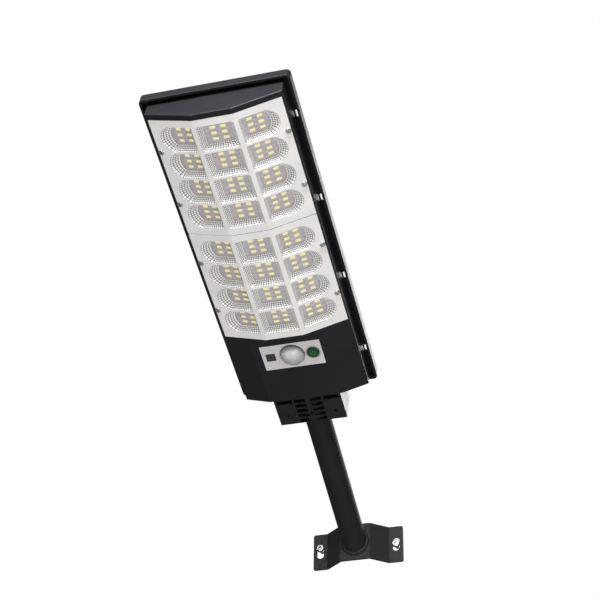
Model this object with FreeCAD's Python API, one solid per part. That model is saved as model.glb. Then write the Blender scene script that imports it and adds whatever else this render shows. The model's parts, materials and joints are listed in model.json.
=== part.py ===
import FreeCAD, Part
import math
import os

from FreeCAD import Matrix, Placement, Rotation, Vector

# Solar street lamp on a wall arm. Millimetres.
# Row frame: +Z up, the wall is the plane Y = 0, the lamp reaches out along -Y, X runs across.
# The origin is the middle of the wall bracket's back.
# Head frame: X across, Y along the head with 0 at its outer end and falling towards the wall,
# Z out of the light side with 0 at the sky side. The head is modelled there and then placed.

# ---- driving sizes -------------------------------------------------------------------------
# wall bracket and arm
BRACKET_W = 94.8
BRACKET_H = 40.0
BRACKET_T = 2.0
HAT_FACE_W = 31.2
HAT_FOOT_W = 65.8
HAT_RISE = 14.3
EAR_CORNER_R = 2.0
SLOT_W = 7.2
SLOT_L = 15.0
SLOT_SPACING = 80.2
WALL_SCREW_R = 2.0
WALL_SCREW_HEAD_R = 4.1
WALL_SCREW_HEAD_H = 3.0
WALL_SCREW_L = 8.0
WALL_SCREW_KEY_R = 1.8
WALL_SCREW_KEY_DEPTH = 1.8
LEFT_SCREW_Z = 3.7
RIGHT_SCREW_Z = 0.0
ARM_R = 12.5
ARM_WALL = 1.2
ARM_RISE_DEG = 21.5
ARM_REACH = 171.0
ARM_IN_CLAMP = 27.0
WELD = 1.8

# head
HEAD_DROOP_DEG = 4.96
HEAD_W = 133.4
HEAD_L = 337.4
HEAD_CORNER_R = 4.0
LIP_H = 9.5
LIP_T = 2.2
FLOOR_T = 2.4
TOP_CHANNEL = 6.3
FOOT_CHANNEL = 7.0
SIDE_CHANNEL = 6.45
HOUSING_WALL = 2.0
STRAP_ROOM = 12.3686
FACET_DEG = 19.4
CENTRE_SHARE = 0.14855
CONTROL_EDGE = 7.027
CONTROL_GAP = 6.2
STEP_RUN = 5.0
ROOF_T = 4.8
CONTROL_ROOF_T = 2.2
EDGE_ROUND = 0.8

# drain slots in the tray's channel
DRAIN_W = 2.4
DRAIN_L = 8.0
DRAIN_FIRST = 42.3
DRAIN_LAST = 33.65
DRAIN_ROWS = 4

# solar panel under the sky side
PANEL_SIDE_EDGE = 4.25
PANEL_END_EDGE = 12.7
PANEL_GAP = 0.3
PANEL_INSET = 0.3
COVER_T = 0.6
CELL_T = 0.3
BACKSHEET_T = 1.3
CELL_COLS = 2
CELL_ROWS = 12
CELL_GAP = 2.0
CELL_MARGIN = 5.0
WEB_T = 1.8
FIT_GAP = 0.2

# lenses and their cells
LENS_START = 11.6
LENS_TO_FOOT = 86.4
LENS_EDGE = 1.35
LENS_GAP = 0.15
LENS_T = 2.0
GASKET_T = 0.8
LEDGE_W = 7.4
SEAM_BAR = 7.0
CUP_PITCH_WANTED = 26.8
LENS_BAND = 6.25
CUP_RIB = 1.6
CUP_DEPTH = 7.2
CUP_WALL = 0.9
CUP_SLOPE_W = 4.6
CUP_SLOPE_L = 4.4
CUP_SIDE_RIM = 1.3
SIDE_CUP_START = 3.0
SIDE_CUP_RIM = 7.07
SIDE_FLOOR_START = 5.8
SIDE_CUP_SLOPE = 9.2
LENS_SCREW_EDGE = 2.7
LENS_SCREW_R = 1.3
LENS_HEAD_R = 2.6
LENS_HEAD_H = 1.5
LENS_SCREW_L = 7.0
LEDGE_END = 5.5
LENS_SCREW_SHARES = (0.2707, 0.7268)

# light boards and chips
BOARD_T = 1.5
BOARD_DROP = 8.8
BOARD_END = 6.0
CENTRE_BOARD_EDGE = 2.3
SIDE_BOARD_START = 2.6
SIDE_BOARD_EDGE = 5.4
CHIP_W = 5.7
CHIP_L = 3.2
CHIP_T = 0.7
CHIP_SPREAD = 0.4393
CHIP_MARGIN = 1.0
CHIP_SHIFT = 0.7
BOARD_SCREW_R = 1.2
BOARD_HEAD_R = 2.2
BOARD_HEAD_H = 1.4
BOARD_SCREW_L = 5.0
BOARD_BOSS_R = 2.6
BOARD_SCREW_EDGE = 4.6
SIDE_SCREW_FIRST = 8.0
SIDE_SCREW_EDGE = 4.0

# control panel
CONTROL_MIDDLE = 19.5
LABEL_W = 57.6
LABEL_L = 28.4
LABEL_T = 0.5
DOME_R = 11.6
DOME_H = 7.0
DOME_WALL = 0.9
DOME_FLANGE = 1.2
BUTTON_X = 20.0
BUTTON_R = 5.8
BUTTON_GAP = 0.3
BUTTON_PROUD = 1.4
BUTTON_FLANGE = 1.0
BUTTON_TRAVEL = 0.8
WINDOW_X = 20.7
WINDOW_W = 9.0
WINDOW_L = 8.6
WINDOW_LIP = 1.0
PCB_T = 1.6
PCB_W = 58.0
PCB_L = 48.0
PCB_DROP = 9.6
SENSOR_R = 4.6
SENSOR_H = 4.2
SWITCH_SIZE = 6.2
SWITCH_H = 4.3
PLUNGER_R = 1.75
PCB_SETBACK = 5.8
PCB_INSET = 4.0
PCB_SCREW_R = 1.2
LABEL_SINK = 0.3
CONNECTOR = (8.0, 6.0, 6.0)
CONNECTOR_X = (-16.0, -6.0, 12.0)
CAPACITOR_R = 4.0
CAPACITOR_H = 9.0
CAPACITOR_X = -14.0
CAPACITOR_Y = 27.0
COIL_R = 5.0
COIL_H = 5.0
COIL_X = 2.0
COIL_Y = 29.0
IC_SIZE = 5.0
IC_T = 1.6
IC_X = 13.0
IC_ROWS = (21.0, 33.0)
DOME_LIP = 1.0
BUTTON_LIP = 0.6

# batteries
CELL_R = 9.1
CELL_LEN = 65.0
BATTERY_GAP = 0.4
BATTERY_SHARE = 0.5263
BATTERY_ROW_GAP = 2.0
STRAP_T = 1.5
STRAP_W = 10.0
STRAP_SCREW_OUT = 4.7
STRAP_SCREW_R = 1.2
STRAP_BITE = 1.5
STRAP_FOOT_L = 8.7
BATTERY_LIFT = 0.4

# leads
PANEL_LEAD_X = -30.0
LEAD_SETBACK = 11.2
LEAD_HOLE_R = 2.4
LEAD_R = 1.6
LEAD_BEND = 5.0

# clamp on the foot of the head
CLAMP_HALF = 32.8
CLAMP_L = 30.9
CLAMP_SINK = 0.1
CLAMP_BACK_Z = 0.6
CLAMP_MOUTH_Z = 15.1
ARM_GAP = 0.05
SLEEVE_WALL = 3.4
POCKET_ROWS = 5
POCKET_SETBACK = 3.3
POCKET_PITCH = 6.15
POCKET_L = 4.3
POCKET_IN = 2.4
POCKET_OUT = 13.4
POCKET_DEPTH = 15.0
RECESS_IN = 15.2
RECESS_OUT = 30.6
RECESS_L = 4.8
CLAMP_BOLT_X = 23.5
CLAMP_BOLT_EDGE = 10.3
CLAMP_BOLT_R = 2.5
CLAMP_HEAD_R = 4.4
CLAMP_HEAD_H = 3.2
NUT_AF = 8.0
NUT_H = 4.0
LOCK_SCREW_R = 2.0
INSERT_R = 3.6
INSERT_L = 8.0
SPLIT_Z = 12.6
SPLIT_GAP = 0.6
COVER_DIP = 2.8
LOCK_SCREW_L = 4.0
SCREW_GAP = 0.2

# screws that close the tray
CASE_SCREW_SIDE = 7.65
CASE_SCREW_R = 1.4
CASE_HEAD_R = 2.7
CASE_HEAD_H = 1.6
CASE_SCREW_L = 9.0
CASE_BOSS_R = 3.0
CASE_SCREW_FIRST = 30.0
CASE_SCREW_LAST = 31.4

# ---- worked out from the driving sizes -----------------------------------------------------
SLOPE = math.tan(math.radians(FACET_DEG))
COS_FACET = math.cos(math.radians(FACET_DEG))
HOUSING_W = HEAD_W - 2 * SIDE_CHANNEL
HOUSING_HALF = HOUSING_W / 2
CENTRE_HALF = HOUSING_W * CENTRE_SHARE
DRAIN_X = (HOUSING_HALF + HEAD_W / 2 - LIP_T) / 2
DRAIN_PITCH = (HEAD_L - DRAIN_FIRST - DRAIN_LAST) / (DRAIN_ROWS - 1)
PANEL_W = HOUSING_W - 2 * PANEL_SIDE_EDGE
PANEL_L = HEAD_L - 2 * PANEL_END_EDGE
POCKET_Z = PANEL_INSET + COVER_T + CELL_T + BACKSHEET_T
WEB_Z = POCKET_Z + WEB_T
BATTERY_Z = WEB_Z + BATTERY_LIFT + CELL_R
CELL_SPACING = 2 * CELL_R + BATTERY_GAP
STRAP_HALF = CELL_SPACING / 2 + CELL_R + BATTERY_GAP + STRAP_T
STRAP_TOP = BATTERY_Z + CELL_R + BATTERY_GAP + STRAP_T
STRAP_SCREW_X = STRAP_HALF + STRAP_SCREW_OUT
STRAP_FOOT = STRAP_HALF + STRAP_FOOT_L
EDGE_Z = STRAP_TOP + STRAP_ROOM - (HOUSING_HALF - STRAP_HALF) * SLOPE
CREST_Z = EDGE_Z + (HOUSING_HALF - CENTRE_HALF) * SLOPE
HOUSING_END = HEAD_L - FOOT_CHANNEL
LENS_L = (HEAD_L - LENS_START - LENS_TO_FOOT) / 2
LENS_END = LENS_START + 2 * LENS_L
LENS_HALF = HOUSING_HALF - LENS_EDGE
LENS_SPAN = (LENS_HALF - CENTRE_HALF) / COS_FACET
LENS_SCREW_X = LENS_HALF - LENS_SCREW_EDGE
LENS_SCREW_Y = [LENS_L * share for share in LENS_SCREW_SHARES]
CUP_ROWS = round((LENS_L - 2 * LENS_BAND) / CUP_PITCH_WANTED)
CUP_PITCH = (LENS_L - 2 * LENS_BAND) / CUP_ROWS
CUP_FIRST = LENS_BAND + CUP_PITCH / 2
CUP_FLOOR_L = CUP_PITCH - CUP_RIB - 2 * CUP_SLOPE_L
CUP_MOUTH_HALF = CENTRE_HALF - CUP_SIDE_RIM
CUP_FLOOR_W = 2 * (CUP_MOUTH_HALF - CUP_SLOPE_W)
SIDE_CUP_END = LENS_SPAN - SIDE_CUP_RIM
SIDE_FLOOR_END = SIDE_CUP_END - SIDE_CUP_SLOPE
CENTRE_BOARD_HALF = CENTRE_HALF - CENTRE_BOARD_EDGE
SIDE_BOARD_END = SIDE_CUP_END - SIDE_BOARD_EDGE
CENTRE_SCREWS = (BOARD_SCREW_EDGE - CENTRE_BOARD_HALF, CENTRE_BOARD_HALF - BOARD_SCREW_EDGE)
SIDE_SCREWS = (SIDE_SCREW_FIRST, SIDE_BOARD_END - SIDE_SCREW_EDGE)
CHIP_SPACING = (SIDE_FLOOR_END - SIDE_FLOOR_START) * CHIP_SPREAD
CHIP_PITCH = (CUP_FLOOR_L - CHIP_L) / 2 - CHIP_MARGIN
SIDE_CHIP_U = (SIDE_FLOOR_START + SIDE_FLOOR_END) / 2 + CHIP_SHIFT
CONTROL_STEP = (LABEL_W / 2 + CONTROL_EDGE - CENTRE_HALF) * SLOPE
CONTROL_Z = CREST_Z - CONTROL_STEP
CONTROL_START = LENS_END + CONTROL_GAP
CONTROL_Y = CONTROL_START + CONTROL_MIDDLE
PCB_START = CONTROL_START + PCB_SETBACK
LEAD_Y = CONTROL_START - LEAD_SETBACK
BATTERY_BLOCK = 2 * CELL_LEN + BATTERY_ROW_GAP
BATTERY_Y = (LEAD_Y - BATTERY_BLOCK) * BATTERY_SHARE
CLAMP_END = HOUSING_END + CLAMP_L
CLAMP_FRONT_Z = CONTROL_Z - CLAMP_SINK
CLAMP_BOLT_Y = CLAMP_END - CLAMP_BOLT_EDGE
POCKET_FIRST = HOUSING_END + POCKET_SETBACK
CASE_SCREW_X = HOUSING_HALF - CASE_SCREW_SIDE
CASE_SCREW_END = HEAD_L - CASE_SCREW_LAST
CASE_SCREW_Y = (CASE_SCREW_FIRST, (CASE_SCREW_FIRST + CASE_SCREW_END) / 2, CASE_SCREW_END)
SEAT_DROP = LENS_T + GASKET_T
PANEL_MID_Y = -HEAD_L / 2
SIDE_IN = HOUSING_HALF - HOUSING_WALL
CAVITY_START = TOP_CHANNEL + HOUSING_WALL
CAVITY_END = HOUSING_END - HOUSING_WALL
BRACKET_FACE = BRACKET_T + HAT_RISE
ARM_AXIS = Vector(0, -math.cos(math.radians(ARM_RISE_DEG)), math.sin(math.radians(ARM_RISE_DEG)))
ARM_FOOT = Vector(0, -BRACKET_FACE, 0)
HEAD_RISE_DEG = ARM_RISE_DEG - HEAD_DROOP_DEG
UP = Vector(0, 0, 1)
DROOP = math.radians(HEAD_DROOP_DEG)
SLEEVE_AXIS = Vector(0, math.cos(DROOP), -math.sin(DROOP))
MOUTH = Vector(0, -CLAMP_END, CLAMP_MOUTH_Z)
BORE_R = ARM_R + ARM_GAP
BORE_DEPTH = ARM_IN_CLAMP + 0.4
COVER_START = HOUSING_END + 0.3
AXIS_DROP = (CLAMP_END - CLAMP_BOLT_Y) * math.tan(DROOP)
CONTROL_CEILING = CONTROL_Z - CONTROL_ROOF_T
PCB_TOP = CONTROL_Z - PCB_DROP
LABEL_TOP = CONTROL_Z - LABEL_SINK + LABEL_T
BOARD_Y0 = CAVITY_START + 2.5
BOARD_Y1 = LENS_END - 0.4
DOME_TOP = LABEL_TOP
SWITCH_TOP = PCB_TOP + SWITCH_H
FLANGE_TOP = CONTROL_CEILING - BUTTON_GAP
CONNECTOR_Y = PCB_START + 1.0
CONNECTOR_MID_Z = PCB_TOP - PCB_T - CONNECTOR[2] / 2
LOCK_SCREW_Z = CLAMP_MOUTH_Z - AXIS_DROP + ARM_R / math.cos(DROOP) + LOCK_SCREW_R * math.tan(DROOP) + 0.02

os.makedirs("parts", exist_ok=True)


# ---- helpers -------------------------------------------------------------------------------
def save(name, shape):
    """Write one sub-part's solids to parts/name.step."""
    shape.exportStep("parts/" + name + ".step")


def face_of(points):
    """A flat face through a closed list of points."""
    return Part.Face(Part.makePolygon(points + [points[0]]))


def across(points, y0, y1):
    """A prism along Y from an outline of (x, z) points, between depths y0 and y1 from the outer end."""
    return face_of([Vector(x, -y0, z) for x, z in points]).extrude(Vector(0, y0 - y1, 0))


def box(x0, x1, y0, y1, z0, z1):
    """A box between two X, two depths from the outer end and two Z."""
    return Part.makeBox(x1 - x0, y1 - y0, z1 - z0, Vector(x0, -y1, z0))


def rod(radius, base, axis, length):
    """A cylinder from base along axis."""
    return Part.makeCylinder(radius, length, base, axis)


def fold(half, drop):
    """The folded roof line as four (x, z) points, drop below the surface, out to x = half."""
    inner = CENTRE_HALF - drop * math.tan(math.radians(FACET_DEG) / 2)
    crest = CREST_Z - drop
    edge = crest - (half - inner) * SLOPE
    return [(-half, edge), (-inner, crest), (inner, crest), (half, edge)]


def folded_plate(half, y0, y1, top, bottom):
    """A plate that follows the folded roof between two drops below it."""
    return across(fold(half, top) + fold(half, bottom)[::-1], y0, y1)


def under_fold(half, y0, y1, drop, base):
    """Everything under the folded roof line, down to z = base."""
    return across([(-half, base)] + fold(half, drop) + [(half, base)], y0, y1)


def on_side(shape):
    """Place a shape made on a flat facet, x from the fold and z up from the surface, on the right facet."""
    placed = shape.copy()
    spin = Rotation(Vector(0, 1, 0), FACET_DEG)
    placed.Placement = Placement(Vector(CENTRE_HALF, 0, CREST_Z), spin).multiply(placed.Placement)
    return placed


def on_centre(shape):
    """Lift a shape made on a flat facet to the centre facet."""
    return shape.translated(Vector(0, 0, CREST_Z))


def mirrored(shape):
    """The same shape on the other side of the head."""
    return shape.mirror(Vector(0, 0, 0), Vector(1, 0, 0))


def place_head(shape):
    """Carry a shape from the head frame to the row frame, on the end of the arm."""
    turn = Matrix()
    rise = math.radians(HEAD_RISE_DEG)
    turn.A11, turn.A12, turn.A13 = 1, 0, 0
    turn.A21, turn.A22, turn.A23 = 0, -math.cos(rise), -math.sin(rise)
    turn.A31, turn.A32, turn.A33 = 0, math.sin(rise), -math.cos(rise)
    mouth = Vector(0, -CLAMP_END, CLAMP_MOUTH_Z)
    target = ARM_FOOT + ARM_AXIS * ARM_REACH
    offset = target - turn.multVec(mouth)
    spot = Placement(offset, Rotation(turn))
    placed = shape.copy()
    placed.Placement = spot.multiply(placed.Placement)
    return placed


def save_head(name, shapes):
    """Write head pieces, given in the head frame, as one node."""
    save(name, place_head(Part.makeCompound(shapes) if len(shapes) > 1 else shapes[0]))


def screw(head_r, head_h, shank_r, length, recess):
    """A cross-recess screw: head on top of z = 0, shank below."""
    head = Part.makeCylinder(head_r, head_h)
    head = head.makeFillet(head_h * 0.45, [head.Edges[0]])
    shank = Part.makeCylinder(shank_r, length, Vector(0, 0, -length))
    corner = Vector(-head_r * 0.6, -head_r * 0.15, head_h - recess)
    blade = Part.makeBox(head_r * 1.2, head_r * 0.3, recess, corner)
    cross = blade.fuse(blade.rotated(Vector(0, 0, 0), Vector(0, 0, 1), 90))
    return head.fuse(shank).removeSplitter().cut(cross)


def flat_screw(head_r, head_h, shank_r, length):
    """A countersunk screw with its flat top at z = 0."""
    head = Part.makeCone(shank_r, head_r, head_h, Vector(0, 0, -head_h))
    return head.fuse(Part.makeCylinder(shank_r, length - head_h, Vector(0, 0, -length))).removeSplitter()


def offset_line(points, distance):
    """The open polyline through (x, y) points, moved sideways by distance with mitred corners."""
    lines = []
    for (x0, y0), (x1, y1) in zip(points, points[1:]):
        length = math.hypot(x1 - x0, y1 - y0)
        nx, ny = -(y1 - y0) / length, (x1 - x0) / length
        lines.append((x0 + nx * distance, y0 + ny * distance, (x1 - x0) / length, (y1 - y0) / length))
    moved = [lines[0][:2]]
    for a, b in zip(lines, lines[1:]):
        cross = a[2] * b[3] - a[3] * b[2]
        along = ((b[0] - a[0]) * b[3] - (b[1] - a[1]) * b[2]) / cross
        moved.append((a[0] + a[2] * along, a[1] + a[3] * along))
    last = points[-1]
    end = lines[-1]
    reach = (last[0] - end[0]) * end[2] + (last[1] - end[1]) * end[3]
    moved.append((end[0] + end[2] * reach, end[1] + end[3] * reach))
    return moved


def lead(points, bend_r, wire_r):
    """A round lead along straight runs joined by tangent arcs of radius bend_r."""
    edges = []
    start = points[0]
    for before, corner, after in zip(points, points[1:], points[2:]):
        into = (before - corner).normalize()
        away = (after - corner).normalize()
        half = into.getAngle(away) / 2
        cut = bend_r / math.tan(half)
        centre = corner + (into + away).normalize() * (bend_r / math.sin(half))
        first = corner + into * cut
        last = corner + away * cut
        middle = centre + (corner - centre).normalize() * bend_r
        edges.append(Part.LineSegment(start, first).toShape())
        edges.append(Part.Arc(first, middle, last).toShape())
        start = last
    edges.append(Part.LineSegment(start, points[-1]).toShape())
    path = Part.Wire(edges)
    ring = Part.Wire(Part.Circle(points[0], points[1] - points[0], wire_r).toShape())
    return path.makePipeShell([ring], True, False)


# ---- arm -----------------------------------------------------------------------------------
def make_bracket():
    front = [
        (-BRACKET_W / 2, -BRACKET_T),
        (-HAT_FOOT_W / 2, -BRACKET_T),
        (-HAT_FACE_W / 2, -BRACKET_FACE),
        (HAT_FACE_W / 2, -BRACKET_FACE),
        (HAT_FOOT_W / 2, -BRACKET_T),
        (BRACKET_W / 2, -BRACKET_T),
    ]
    back = offset_line(front, BRACKET_T)
    outline = [Vector(x, y, -BRACKET_H / 2) for x, y in front + back[::-1]]
    plate = face_of(outline).extrude(Vector(0, 0, BRACKET_H))
    corners = [
        e for e in plate.Edges
        if abs(abs(e.CenterOfMass.x) - BRACKET_W / 2) < 0.01 and e.Length < BRACKET_T + 0.01
    ]
    plate = plate.makeFillet(EAR_CORNER_R, corners)
    for side in (-1, 1):
        straight = SLOT_L - SLOT_W
        x = side * SLOT_SPACING / 2
        corner = Vector(x - SLOT_W / 2, -BRACKET_T * 2, -straight / 2)
        slot = Part.makeBox(SLOT_W, BRACKET_T * 3, straight, corner)
        for z in (-straight / 2, straight / 2):
            slot = slot.fuse(rod(SLOT_W / 2, Vector(x, -BRACKET_T * 2, z), Vector(0, 1, 0), BRACKET_T * 3))
        plate = plate.cut(slot)
    return plate.removeSplitter()


def arm_rod(radius, start, end):
    """A cylinder on the arm's axis between two distances from the bracket's face."""
    return rod(radius, ARM_FOOT + ARM_AXIS * start, ARM_AXIS, end - start)


def in_front(depth0, depth1):
    """Everything between two distances out from the bracket's face."""
    size = ARM_REACH * 3
    return Part.makeBox(size, depth1 - depth0, size, Vector(-size / 2, -BRACKET_FACE - depth1, -size / 2))


def make_arm():
    outer = arm_rod(ARM_R, -ARM_R, ARM_REACH + ARM_IN_CLAMP)
    inner = arm_rod(ARM_R - ARM_WALL, -ARM_R * 2, ARM_REACH + ARM_IN_CLAMP + 1)
    return outer.cut(inner).common(in_front(0, ARM_REACH * 2))


def make_weld():
    ring = arm_rod(ARM_R + WELD, -ARM_R, ARM_R).cut(arm_rod(ARM_R, -ARM_R * 2, ARM_R * 2))
    ring = ring.common(in_front(0, WELD))
    outer = [e for e in ring.Edges if e.CenterOfMass.y < -BRACKET_FACE - WELD / 2]
    longest = max(outer, key=lambda e: e.Length)
    return ring.makeChamfer(WELD * 0.7, [longest])


def make_wall_screw(side, z):
    """A pan-head screw with a hexagon socket, its head on the front of one ear."""
    head = Part.makeCylinder(WALL_SCREW_HEAD_R, WALL_SCREW_HEAD_H)
    head = head.makeFillet(WALL_SCREW_HEAD_H * 0.4, [head.Edges[0]])
    shank = Part.makeCylinder(WALL_SCREW_R, WALL_SCREW_L, Vector(0, 0, -WALL_SCREW_L))
    turns = [math.radians(a) for a in range(0, 360, 60)]
    floor = WALL_SCREW_HEAD_H - WALL_SCREW_KEY_DEPTH
    hexagon = [Vector(WALL_SCREW_KEY_R * math.cos(a), WALL_SCREW_KEY_R * math.sin(a), floor) for a in turns]
    socket = face_of(hexagon).extrude(Vector(0, 0, WALL_SCREW_HEAD_H))
    body = head.fuse(shank).removeSplitter().cut(socket)
    body.rotate(Vector(0, 0, 0), Vector(1, 0, 0), 90)
    return body.translated(Vector(side * SLOT_SPACING / 2, -BRACKET_T, z))


save("wall_bracket", make_bracket())
save("arm_tube", make_arm())
save("arm_weld", make_weld())
save("wall_screws", Part.makeCompound([make_wall_screw(-1, LEFT_SCREW_Z), make_wall_screw(1, RIGHT_SCREW_Z)]))

# ---- clamp ---------------------------------------------------------------------------------


def clamp_bore():
    return rod(BORE_R, MOUTH - SLEEVE_AXIS * 3, SLEEVE_AXIS, BORE_DEPTH + 3)


def bolt_points():
    return [Vector(side * CLAMP_BOLT_X, -CLAMP_BOLT_Y, 0) for side in (-1, 1)]


def make_clamp_front():
    """The half of the clamp that is moulded with the housing."""
    z0 = SPLIT_Z + SPLIT_GAP / 2
    block = box(-CLAMP_HALF, CLAMP_HALF, HOUSING_END - HOUSING_WALL, CLAMP_END, z0, CLAMP_FRONT_Z)
    at_end = [e for e in block.Edges if abs(e.CenterOfMass.y + CLAMP_END) < 0.01]
    tall = [e for e in at_end if abs(e.CenterOfMass.x) > CLAMP_HALF - 0.01]
    block = block.makeFillet(EDGE_ROUND, tall)
    block = block.cut(clamp_bore())
    sleeve = rod(BORE_R + SLEEVE_WALL, MOUTH - SLEEVE_AXIS * 9, SLEEVE_AXIS, BORE_DEPTH * 2)
    for row in range(POCKET_ROWS):
        y = POCKET_FIRST + row * POCKET_PITCH
        z1 = CLAMP_FRONT_Z + 1
        floor = CLAMP_FRONT_Z - POCKET_DEPTH
        pocket = box(POCKET_IN, POCKET_OUT, y - POCKET_L / 2, y + POCKET_L / 2, floor, z1)
        pocket = pocket.cut(sleeve)
        block = block.cut(pocket).cut(mirrored(pocket))
    y = POCKET_FIRST
    floor = CLAMP_FRONT_Z - POCKET_DEPTH / 2
    recess = box(RECESS_IN, RECESS_OUT, y - RECESS_L / 2, y + RECESS_L / 2, floor, z1)
    block = block.cut(recess).cut(mirrored(recess))
    for spot in bolt_points():
        block = block.cut(rod(INSERT_R, spot + Vector(0, 0, z0), Vector(0, 0, 1), INSERT_L))
        block = block.cut(rod(CLAMP_BOLT_R / 2, spot + Vector(0, 0, CLAMP_FRONT_Z - 2), Vector(0, 0, 1), 3))
    lock = rod(LOCK_SCREW_R, Vector(0, -CLAMP_BOLT_Y, CLAMP_MOUTH_Z), Vector(0, 0, 1), CLAMP_FRONT_Z)
    return block.cut(lock)


def make_clamp_cover():
    """The loose half of the clamp, on the sky side."""
    z1 = SPLIT_Z - SPLIT_GAP / 2
    side = [
        Vector(-CLAMP_HALF, -COVER_START, z1),
        Vector(-CLAMP_HALF, -CLAMP_END, z1),
        Vector(-CLAMP_HALF, -CLAMP_END, CLAMP_BACK_Z),
        Vector(-CLAMP_HALF, -COVER_START, CLAMP_BACK_Z - COVER_DIP),
    ]
    cover = face_of(side).extrude(Vector(2 * CLAMP_HALF, 0, 0))
    low = [e for e in cover.Edges if e.CenterOfMass.z < CLAMP_BACK_Z]
    long = [e for e in low if abs(e.CenterOfMass.x) > CLAMP_HALF - 0.01]
    cover = cover.makeFillet(EDGE_ROUND * 1.5, long)
    cover = cover.cut(clamp_bore())
    for spot in bolt_points():
        cover = cover.cut(rod(CLAMP_BOLT_R + SCREW_GAP, spot + Vector(0, 0, -9), Vector(0, 0, 1), 30))
        seat = spot + Vector(0, 0, CLAMP_BACK_Z + CLAMP_HEAD_H + 1 - 12)
        cover = cover.cut(rod(CLAMP_HEAD_R + SCREW_GAP, seat, Vector(0, 0, 1), 12))
    return cover


def make_clamp_bolt(spot):
    """A socket-head bolt that pulls the cover to the housing, its head sunk in the cover."""
    seat = CLAMP_BACK_Z + CLAMP_HEAD_H + 1
    head = rod(CLAMP_HEAD_R, spot + Vector(0, 0, seat - CLAMP_HEAD_H), Vector(0, 0, 1), CLAMP_HEAD_H)
    shank = rod(CLAMP_BOLT_R, spot + Vector(0, 0, seat), Vector(0, 0, 1), SPLIT_Z + INSERT_L - seat - 1)
    mouth = spot + Vector(0, 0, seat - CLAMP_HEAD_H - 1)
    socket = rod(CLAMP_BOLT_R * 0.9, mouth, Vector(0, 0, 1), CLAMP_HEAD_H)
    return head.fuse(shank).removeSplitter().cut(socket)


def make_insert(spot):
    """A brass insert, pressed into the housing's half of the clamp, for one clamp bolt."""
    base = spot + Vector(0, 0, SPLIT_Z + SPLIT_GAP / 2)
    thread = rod(CLAMP_BOLT_R, base, Vector(0, 0, 1), INSERT_L)
    return rod(INSERT_R, base, Vector(0, 0, 1), INSERT_L).cut(thread)


def make_lock_screw():
    """The grub screw that bears on the arm through the sleeve's crown."""
    crown = LOCK_SCREW_Z
    body = rod(LOCK_SCREW_R, Vector(0, -CLAMP_BOLT_Y, crown), Vector(0, 0, 1), LOCK_SCREW_L)
    mouth = Vector(0, -CLAMP_BOLT_Y, crown + LOCK_SCREW_L - 1.5)
    socket = rod(LOCK_SCREW_R * 0.55, mouth, Vector(0, 0, 1), 2)
    return body.cut(socket)


# ---- tray and solar panel ------------------------------------------------------------------
def panel_box(z0, z1, grow):
    """A slab of the solar panel's outline, grown by a clearance."""
    half_l = PANEL_L / 2 + grow
    half_w = PANEL_W / 2 + grow
    return box(-half_w, half_w, -PANEL_MID_Y - half_l, -PANEL_MID_Y + half_l, z0, z1)


def case_screw_points():
    return [(side * CASE_SCREW_X, y) for side in (-1, 1) for y in CASE_SCREW_Y]


def make_tray():
    outer = box(-HEAD_W / 2, HEAD_W / 2, 0, HEAD_L, 0, LIP_H)
    upright = [e for e in outer.Edges if abs(e.CenterOfMass.z - LIP_H / 2) < 0.01]
    outer = outer.makeFillet(HEAD_CORNER_R, upright)
    rim = [e for e in outer.Edges if e.CenterOfMass.z > LIP_H - 0.01]
    outer = outer.makeFillet(EDGE_ROUND * 0.7, rim)
    hollow = box(-HEAD_W / 2 + LIP_T, HEAD_W / 2 - LIP_T, LIP_T, HEAD_L - LIP_T, FLOOR_T, LIP_H + 1)
    tray = outer.cut(hollow)
    half = SIDE_IN - FIT_GAP
    web = box(-half, half, CAVITY_START + FIT_GAP, CAVITY_END - FIT_GAP, 0, WEB_Z)
    tray = tray.fuse(web).removeSplitter().cut(panel_box(-1, POCKET_Z, PANEL_GAP))
    for side in (-1, 1):
        for row in range(DRAIN_ROWS):
            y = DRAIN_FIRST + row * DRAIN_PITCH
            x = side * DRAIN_X
            slot = box(x - DRAIN_W / 2, x + DRAIN_W / 2, y - DRAIN_L / 2, y + DRAIN_L / 2, -1, FLOOR_T + 1)
            ends = [e for e in slot.Edges if abs(e.CenterOfMass.z - FLOOR_T / 2) < 0.01]
            tray = tray.cut(slot.makeFillet(DRAIN_W * 0.49, ends))
    for x, y in case_screw_points():
        tray = tray.cut(rod(CASE_SCREW_R + SCREW_GAP, Vector(x, -y, 0), Vector(0, 0, 1), WEB_Z + 1))
        wide = CASE_HEAD_R + SCREW_GAP
        sink = Part.makeCone(wide, CASE_SCREW_R + SCREW_GAP, CASE_HEAD_H, Vector(x, -y, POCKET_Z))
        tray = tray.cut(sink)
    for side in (-1, 1):
        for y in strap_rows():
            start = Vector(side * STRAP_SCREW_X, -y, WEB_Z - STRAP_BITE)
            tray = tray.cut(rod(STRAP_SCREW_R, start, Vector(0, 0, 1), 9))
    tray = tray.cut(rod(LEAD_HOLE_R, Vector(PANEL_LEAD_X, -LEAD_Y, 0), Vector(0, 0, 1), WEB_Z + 1))
    notch = CLAMP_HALF + PANEL_GAP
    return tray.cut(box(-notch, notch, HOUSING_END, HEAD_L + 1, -1, LIP_H + 1))


def make_solar_cells():
    z0 = PANEL_INSET + COVER_T
    wide = (PANEL_W - 2 * CELL_MARGIN - (CELL_COLS - 1) * CELL_GAP) / CELL_COLS
    tall = (PANEL_L - 2 * CELL_MARGIN - (CELL_ROWS - 1) * CELL_GAP) / CELL_ROWS
    left = -PANEL_W / 2 + CELL_MARGIN
    top = -PANEL_MID_Y - PANEL_L / 2 + CELL_MARGIN
    cells = []
    for column in range(CELL_COLS):
        for row in range(CELL_ROWS):
            x = left + column * (wide + CELL_GAP)
            y = top + row * (tall + CELL_GAP)
            cells.append(box(x, x + wide, y, y + tall, z0, z0 + CELL_T))
    return cells


# ---- batteries and leads -------------------------------------------------------------------


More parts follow.
